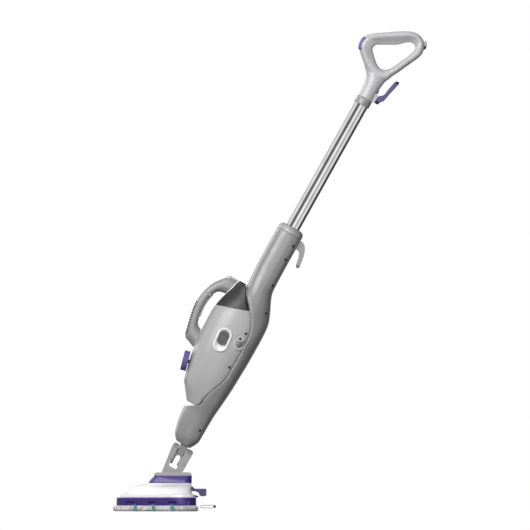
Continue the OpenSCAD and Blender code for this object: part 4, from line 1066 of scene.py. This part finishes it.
class Nodes:
    """Builds the node tree of a material or of the world."""

    def __init__(self, owner, shader="Principled BSDF"):
        owner.use_nodes = True
        self.owner = owner
        self.tree = owner.node_tree
        self.shader = self.tree.nodes[shader]
        self.coordinates = self.add("TexCoord").outputs
        self.place = self.coordinates["Object"]

    def put(self, socket, value):
        if isinstance(value, bpy.types.NodeSocket):
            self.tree.links.new(value, socket)
        elif isinstance(value, tuple) and socket.type == "RGBA":
            socket.default_value = (*value, 1)
        else:
            socket.default_value = value

    def add(self, kind, *inputs, **values):
        """New node, with inputs in order, and attributes or inputs by name."""
        node = self.tree.nodes.new("ShaderNode" + kind)
        for key, value in values.items():
            if hasattr(node, key):
                setattr(node, key, value)
            else:
                self.put(node.inputs[key.replace("_", " ")], value)
        for socket, value in zip(node.inputs, inputs):
            self.put(socket, value)
        return node

    def noise(self, scale, detail=3.0, rough=0.5, place=None):
        values = {"Scale": scale, "Detail": detail, "Roughness": rough, "Vector": place or self.place}
        return self.add("TexNoise", **values).outputs["Fac"]

    def cells(self, feature, scale):
        node = self.add("TexVoronoi", feature=feature, Scale=scale, Vector=self.place)
        return node.outputs["Distance"]

    def span(self, value, low, high, from_low=0.0, from_high=1.0, **more):
        ends = {"From_Min": from_low, "From_Max": from_high, "To_Min": low, "To_Max": high}
        return self.add("MapRange", Value=value, **ends, **more).outputs["Result"]

    def drift(self, noise, low=0.0, high=1.0):
        """The middle of a noise's range, spread from low to high."""
        return self.span(noise, low, high, 0.3, 0.7)

    def mix(self, factor, a, b):
        node = self.add("Mix", data_type="RGBA", Factor=factor)
        self.put(node.inputs[6], a)
        self.put(node.inputs[7], b)
        return node.outputs[2]

    def bump(self, height, distance, strength=1.0, after=None):
        node = self.add("Bump", Strength=strength, Distance=distance * MM, Height=height)
        if after:
            self.put(node.inputs["Normal"], after)
        return node.outputs["Normal"]

    def set(self, **values):
        for key, value in values.items():
            self.put(self.shader.inputs[key.replace("_", " ")], value)

    def surface(self, colour, rough, normal, **more):
        """Finishes the material."""
        self.set(Base_Color=colour, Roughness=rough, Normal=normal, **more)
        return self.owner

    def cloth(self, colour, rough, normal, sheen):
        return self.surface(colour, rough, normal, Sheen_Weight=sheen, Sheen_Roughness=0.5)

    def edges(self):
        """Where the surface is convex, for worn edges and painted edge highlights."""
        return self.span(self.add("NewGeometry").outputs["Pointiness"], 0, 1, 0.52, 0.6)


def material(name):
    return Nodes(bpy.data.materials.new(name))


def shaded(colour, k):
    return tuple(min(c * k, 1) for c in colour)


def moulded(name, colour, rough, coat=0, coat_rough=0.2, grain=0.01, edge=1.25, spread=0.08):
    """Moulded plastic: fine grain, slow colour drift, faint sink marks and brighter edges that are partly
    wear and partly painted highlight.
    """
    m = material(name)
    base = m.mix(m.drift(m.noise(9, 4, 0.6)), shaded(colour, 1 - spread), shaded(colour, 1 + spread * 0.6))
    # convex edges lighter: partly wear, partly painted highlight
    base = m.mix(m.edges(), base, shaded(colour, edge))
    roughness = m.drift(m.noise(40, 5, 0.65), rough * 0.82, rough * 1.2)
    normal = m.bump(m.noise(1400, 2), grain, 0.6, m.bump(m.noise(26, 2), 0.1, 0.35))
    return m.surface(base, roughness, normal, Coat_Weight=coat, Coat_Roughness=coat_rough)


def bright_steel():
    """Polished tube with fine drawing lines along it and a slow drift in its tone."""
    m = material("bright_steel")
    tilt_back = -atan2(UP[0], UP[2])
    along = m.add("VectorRotate", rotation_type="Y_AXIS", Angle=tilt_back, Vector=m.place)
    lines = m.add("Mapping", Scale=(1500, 1500, 4), Vector=along.outputs["Vector"])
    drawn = m.noise(1.0, 3, 0.6, lines.outputs["Vector"])
    base = m.mix(m.drift(m.noise(30, 4)), (0.60, 0.60, 0.61), (0.72, 0.72, 0.73))
    return m.surface(base, m.drift(drawn, 0.10, 0.15), m.bump(drawn, 0.003, 0.3), Metallic=1.0)


def satin_steel(name, colour=(0.55, 0.55, 0.56), rough=0.32):
    m = material(name)
    fine = m.noise(900, 3)
    base = m.mix(m.drift(m.noise(60, 4)), shaded(colour, 0.85), shaded(colour, 1.1))
    return m.surface(base, m.drift(fine, rough * 0.8, rough * 1.3), m.bump(fine, 0.02, 0.5), Metallic=1.0)


def smoked_tank():
    """Tinted tank wall: dark, glossy, slightly see-through, with faint flow lines."""
    m = material("smoked_tank")
    base = m.mix(m.drift(m.noise(14, 3)), (0.010, 0.010, 0.011), (0.022, 0.022, 0.023))
    # lighter convex edges: partly wear, partly painted highlight
    base = m.mix(m.edges(), base, (0.05, 0.05, 0.052))
    m.set(Coat_Weight=0.1, Coat_Roughness=0.3, Transmission_Weight=0.05)
    return m.surface(base, m.drift(m.noise(50, 4), 0.34, 0.42), m.bump(m.noise(30, 2), 0.12, 0.4))


def rubber():
    colour = (0.014, 0.014, 0.015)
    m = material("rubber")
    fine = m.noise(1600, 3)
    base = m.mix(m.drift(m.noise(35, 4)), shaded(colour, 0.8), shaded(colour, 1.5))
    # lighter convex edges: partly wear, partly painted highlight
    base = m.mix(m.edges(), base, shaded(colour, 3.2))
    return m.surface(base, m.drift(fine, 0.5, 0.75), m.bump(fine, 0.05, 0.7))


def pile_fabric():
    """Looped microfibre: off-white loops with grey ones mixed in, and soft sheen."""
    m = material("pile_fabric")
    loops = m.cells("F1", 520)
    fibre = m.noise(1900, 4, 0.7)
    base = m.mix(m.span(m.noise(95, 4, 0.7), 0, 1, 0.44, 0.58), (0.80, 0.79, 0.77), (0.40, 0.40, 0.41))
    # darker towards the rims of the loop cells, where the bump sinks: painted shade in the hollows between
    # the loops
    base = m.mix(m.span(loops, 0, 0.65, 0.25, 0.9), base, (0.22, 0.22, 0.23))
    base = m.mix(m.span(fibre, 0, 0.35, 0.5, 0.8), base, (0.92, 0.91, 0.90))
    normal = m.bump(fibre, 0.35, 0.7, m.bump(m.span(loops, 1, 0, 0, 0.8), 0.9, 0.9))
    return m.cloth(base, 0.92, normal, 0.5)


def scrub_fabric():
    """Teal bristles, lighter at their tips."""
    m = material("scrub_fabric")
    tufts = m.noise(1400, 4, 0.7)
    base = m.mix(m.span(tufts, 0, 1, 0.35, 0.7), (0.03, 0.16, 0.19), (0.16, 0.46, 0.50))
    return m.cloth(base, 0.85, m.bump(tufts, 0.5, 0.9), 0.4)


def tape_fabric():
    """Narrow woven tape with a plain weave."""
    m = material("tape_fabric")
    wave = {"Scale": 260, "Distortion": 0.6, "Vector": m.place}
    weave = [m.add("TexWave", bands_direction=axis, **wave).outputs["Fac"] for axis in "XY"]
    cross = m.add("Math", *weave, operation="MULTIPLY").outputs["Value"]
    base = m.mix(cross, (0.12, 0.12, 0.12), (0.30, 0.30, 0.295))
    return m.cloth(base, 0.8, m.bump(cross, 0.2, 0.7), 0.3)


def board():
    m = material("circuit_board")
    tracks = m.cells("DISTANCE_TO_EDGE", 220)
    base = m.mix(m.span(tracks, 1, 0, 0, 0.06), (0.02, 0.14, 0.05), (0.12, 0.32, 0.14))
    return m.surface(base, 0.45, m.bump(tracks, 0.05, 0.5))


# moulded plastics: colour, roughness, coat, coat's roughness, depth of the grain, edge brightening (partly
# wear, partly painted highlight), colour drift
PLASTICS = {
    "purple_gloss": ((0.048, 0.022, 0.19), 0.34, 0.08, 0.08, 0.02, 1.9, 0.14),
    "lilac_gloss": ((0.105, 0.075, 0.26), 0.34, 0.15, 0.08, 0.02, 1.6, 0.12),
    "white_gloss": ((0.84, 0.84, 0.85), 0.24, 0.3, 0.08, 0.01, 1.05, 0.02),
    "frame_plastic": ((0.25, 0.25, 0.253), 0.36, 0.7, 0.26, 0.01, 1.3, 0.06),
    "unit_plastic": ((0.38, 0.38, 0.385), 0.36, 0.25, 0.2, 0.01, 1.3, 0.05),
    "silver_plastic": ((0.46, 0.46, 0.47), 0.34, 0.4, 0.16, 0.006, 1.15, 0.03),
    "bezel_plastic": ((0.8, 0.8, 0.81), 0.26, 0.4, 0.08, 0.015, 1.1, 0.03),
    "button_plastic": ((0.3, 0.3, 0.305), 0.38, 0, 0.08, 0.03, 1.4),
    "dark_plastic": ((0.006, 0.006, 0.0065), 0.6, 0, 0.08, 0.03, 1.6, 0.2),
    # pieces whose colour differs a little from the rest of their slot
    "mode_switch": ((0.085, 0.085, 0.087), 0.42),
    "swivel_fork": ((0.27, 0.27, 0.274), 0.34, 0.4),
    "swivel_tongue": ((0.17, 0.17, 0.173), 0.36, 0.3),
    "neck_collar": ((0.32, 0.32, 0.324), 0.34, 0.4),
    "socket_collar": ((0.34, 0.34, 0.344), 0.36, 0.5),
    "cord_gland": ((0.46, 0.46, 0.465), 0.36, 0.3),
    "foot_pedal": ((0.03, 0.014, 0.14), 0.36, 0.1),
    "cord_hook": ((0.034, 0.016, 0.15), 0.28, 0.3),
}


def make_finishes():
    """Materials by the slot or the node that they are for."""
    finishes = {
        "rubber": rubber(),
        "pad_fabric": pile_fabric(),
        "stripe_fabric": scrub_fabric(),
        "loop_fabric": tape_fabric(),
        "polished_steel": bright_steel(),
        "steel": satin_steel("steel"),
        "brass": satin_steel("brass", (0.62, 0.44, 0.18), 0.28),
        "smoked_tank": smoked_tank(),
        "board": board(),
    }
    for name, values in PLASTICS.items():
        finishes[name] = moulded(name if name in SLOT_OF.values() else name + "_plastic", *values)
    # near-black screws, darker than the satin steel of their slot: painted shade that makes the screw holes
    # read dark
    for node in ("frame_screws", "unit_screws"):
        finishes[node] = satin_steel(node + "_steel", (0.05, 0.05, 0.052), 0.45)
    return finishes


def paint():
    """Every shown piece takes the material of its node or slot."""
    finishes = make_finishes()
    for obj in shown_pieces():
        node = obj.get("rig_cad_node") or obj.name.replace("_moulded", "")
        slot = node if node in finishes else obj.get("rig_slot") or SLOT_OF.get(node)
        if obj.material_slots:
            for place in obj.material_slots:
                place.material = finishes[slot]
        else:
            obj.data.materials.append(finishes[slot])


# ---------- light, floor and camera ----------


# brightness of the panels round the tube: (angle in degrees, 0 behind it and -90 in front, brightness)
STUDIO_RING = [
    (-180, 1.4), (-170, 1.25), (-158, 0.4), (-146, 0.14), (-126, 0.14), (-114, 0.6), (-104, 1.1), (-84, 1.2),
    (-60, 0.75), (-20, 0.6), (20, 0.45), (46, 0.06), (84, 0.05), (98, 0.45), (108, 1.15), (126, 1.15),
    (136, 0.7), (146, 0.55), (158, 0.62), (168, 1.2), (179, 1.4),
]
RING_SCALE = 2.0
CENTRE = Vector((0.25, 0.0, 0.55))
# lamps: name, direction from the centre, distance, width, height, power in watts
LAMPS = [
    ("key", (-0.42, -0.78, 0.42), 3.4, 2.6, 1.6, 84),
    ("fill", (0.05, -1.0, 0.12), 4.0, 3.4, 3.4, 34),
    ("top", (-0.05, -0.10, 1.0), 3.2, 1.8, 1.4, 17),
    ("rim", (-0.72, 0.62, 0.35), 3.2, 0.8, 2.2, 15),
]
FLOOR_RADIUS = 4.0
VIEW_WIDTH = 1.1925
VIEW_CENTRE = (0.2149, 0.5546)
CAMERA_DISTANCE = 30.0
CAMERA_RISE = radians(-1.0)
SENSOR_WIDTH = 36


def studio():
    """Bright and dark panels round the tube, a dim room elsewhere, and white behind the object."""
    world = bpy.data.worlds.new("studio")
    SCENE.world = world
    m = Nodes(world, "Background")

    def share_along(axis):
        values = m.coordinates["Generated"], tuple(axis)
        return m.add("VectorMath", *values, operation="DOT_PRODUCT").outputs["Value"]

    def maths(kind, *values):
        return m.add("Math", *values, operation=kind).outputs["Value"]

    def ramp(value, low, high, to_low, to_high):
        return m.span(value, to_low, to_high, low, high, interpolation_type="SMOOTHSTEP")

    turn = maths("ARCTAN2", share_along(REAR), share_along(SIDE))
    ring = m.add("ValToRGB", m.span(turn, 0.0, 1.0, -pi, pi))
    stops = ring.color_ramp.elements
    for k, (angle, light) in enumerate(STUDIO_RING):
        at = (angle + 180) / 360
        stop = stops[0] if k == 0 else stops.new(at)
        stop.position = at
        stop.color = (*[light / RING_SCALE] * 3, 1)
    stops.remove(stops[-1])
    panels = m.add("VectorMath", ring.outputs["Color"], operation="SCALE", Scale=RING_SCALE)
    by_height = ramp(share_along((0, 0, 1)), -0.5, 0.9, 0.10, 0.52)
    room = maths("MULTIPLY", by_height, ramp(share_along((1, 0, 0)), -0.9, 0.9, 1.20, 0.18))
    near = ramp(maths("ABSOLUTE", share_along(UP)), 0.14, 0.34, 1.0, 0.0)
    light = m.mix(near, room, panels.outputs["Vector"])
    seen = m.mix(m.add("LightPath").outputs["Is Camera Ray"], light, (1, 1, 1))
    m.set(Color=seen, Strength=1.0)
    SCENE.view_settings.view_transform = "Standard"


def lamps():
    """Soft lamps for all but the polished tube, which shows only the panels round it."""
    unlit = bpy.data.collections.new("panels_only")
    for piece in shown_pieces():
        if piece.get("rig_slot") == "polished_steel":
            unlit.objects.link(piece)
            piece.visible_diffuse = False
    for entry in unlit.collection_objects:
        entry.light_linking.link_state = "EXCLUDE"
    for name, direction, distance, width, height, power in LAMPS:
        lamp = bpy.data.lights.new(name, "AREA")
        lamp.shape = "RECTANGLE"
        lamp.size, lamp.size_y = width, height
        lamp.energy = power
        obj = linked(name, lamp)
        obj.location = CENTRE + Vector(direction).normalized() * distance
        obj.rotation_euler = (CENTRE - obj.location).to_track_quat("-Z", "Y").to_euler()
        obj.light_linking.receiver_collection = unlit


def floor():
    """Pale round floor that fades into the white behind it."""
    mesh = bpy.data.meshes.new("floor")
    rim = [(CENTRE[0] + FLOOR_RADIUS * cos(a), FLOOR_RADIUS * sin(a), 0) for a in turns(96)]
    mesh.from_pydata(rim, [], [tuple(range(len(rim)))])
    obj = linked("floor", mesh)
    obj.visible_diffuse = False
    obj.visible_glossy = False
    m = material("floor_paint")
    base = m.mix(m.drift(m.noise(2, 4)), (0.93, 0.93, 0.93), (0.95, 0.95, 0.95))
    reach = m.add("VectorMath", m.place, (0.1, 0.0, 0.0), operation="DISTANCE").outputs["Value"]
    base = m.mix(m.span(reach, 0.0, 1.0, 0.3, 1.3), base, (0, 0, 0))
    m.set(Base_Color=base, Roughness=1.0, Specular_IOR_Level=0.0)
    m.set(Emission_Color=(1.0, 1.0, 1.0), Emission_Strength=m.span(reach, 0.30, 1.0, 0.2, 1.2))
    obj.data.materials.append(m.owner)
    obj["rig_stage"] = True


def camera():
    data = bpy.data.cameras.new("camera")
    data.sensor_width = SENSOR_WIDTH
    data.lens = SENSOR_WIDTH * CAMERA_DISTANCE / VIEW_WIDTH
    data.clip_end = 100
    obj = linked("camera", data)
    back, up = CAMERA_DISTANCE * cos(CAMERA_RISE), CAMERA_DISTANCE * sin(CAMERA_RISE)
    obj.location = (VIEW_CENTRE[0], -back, VIEW_CENTRE[1] + up)
    obj.rotation_euler = (pi / 2 - CAMERA_RISE, 0, 0)
    SCENE.camera = obj


# ---------- everything ----------


def main():
    for make in (frame_shells, unit_shells, tank, front_strip, carry_handle, handle_ribs, grip_shells):
        make()
    for make in (grip_accent, main_tube, sole_plate, head_cover, head_trim, pad, pad_stripes, pull_loop):
        make()
    for node, voxel, passes in SOFT_PARTS:
        soft_copy(node, voxel, passes)
    paint()
    floor()
    studio()
    lamps()
    camera()


main()
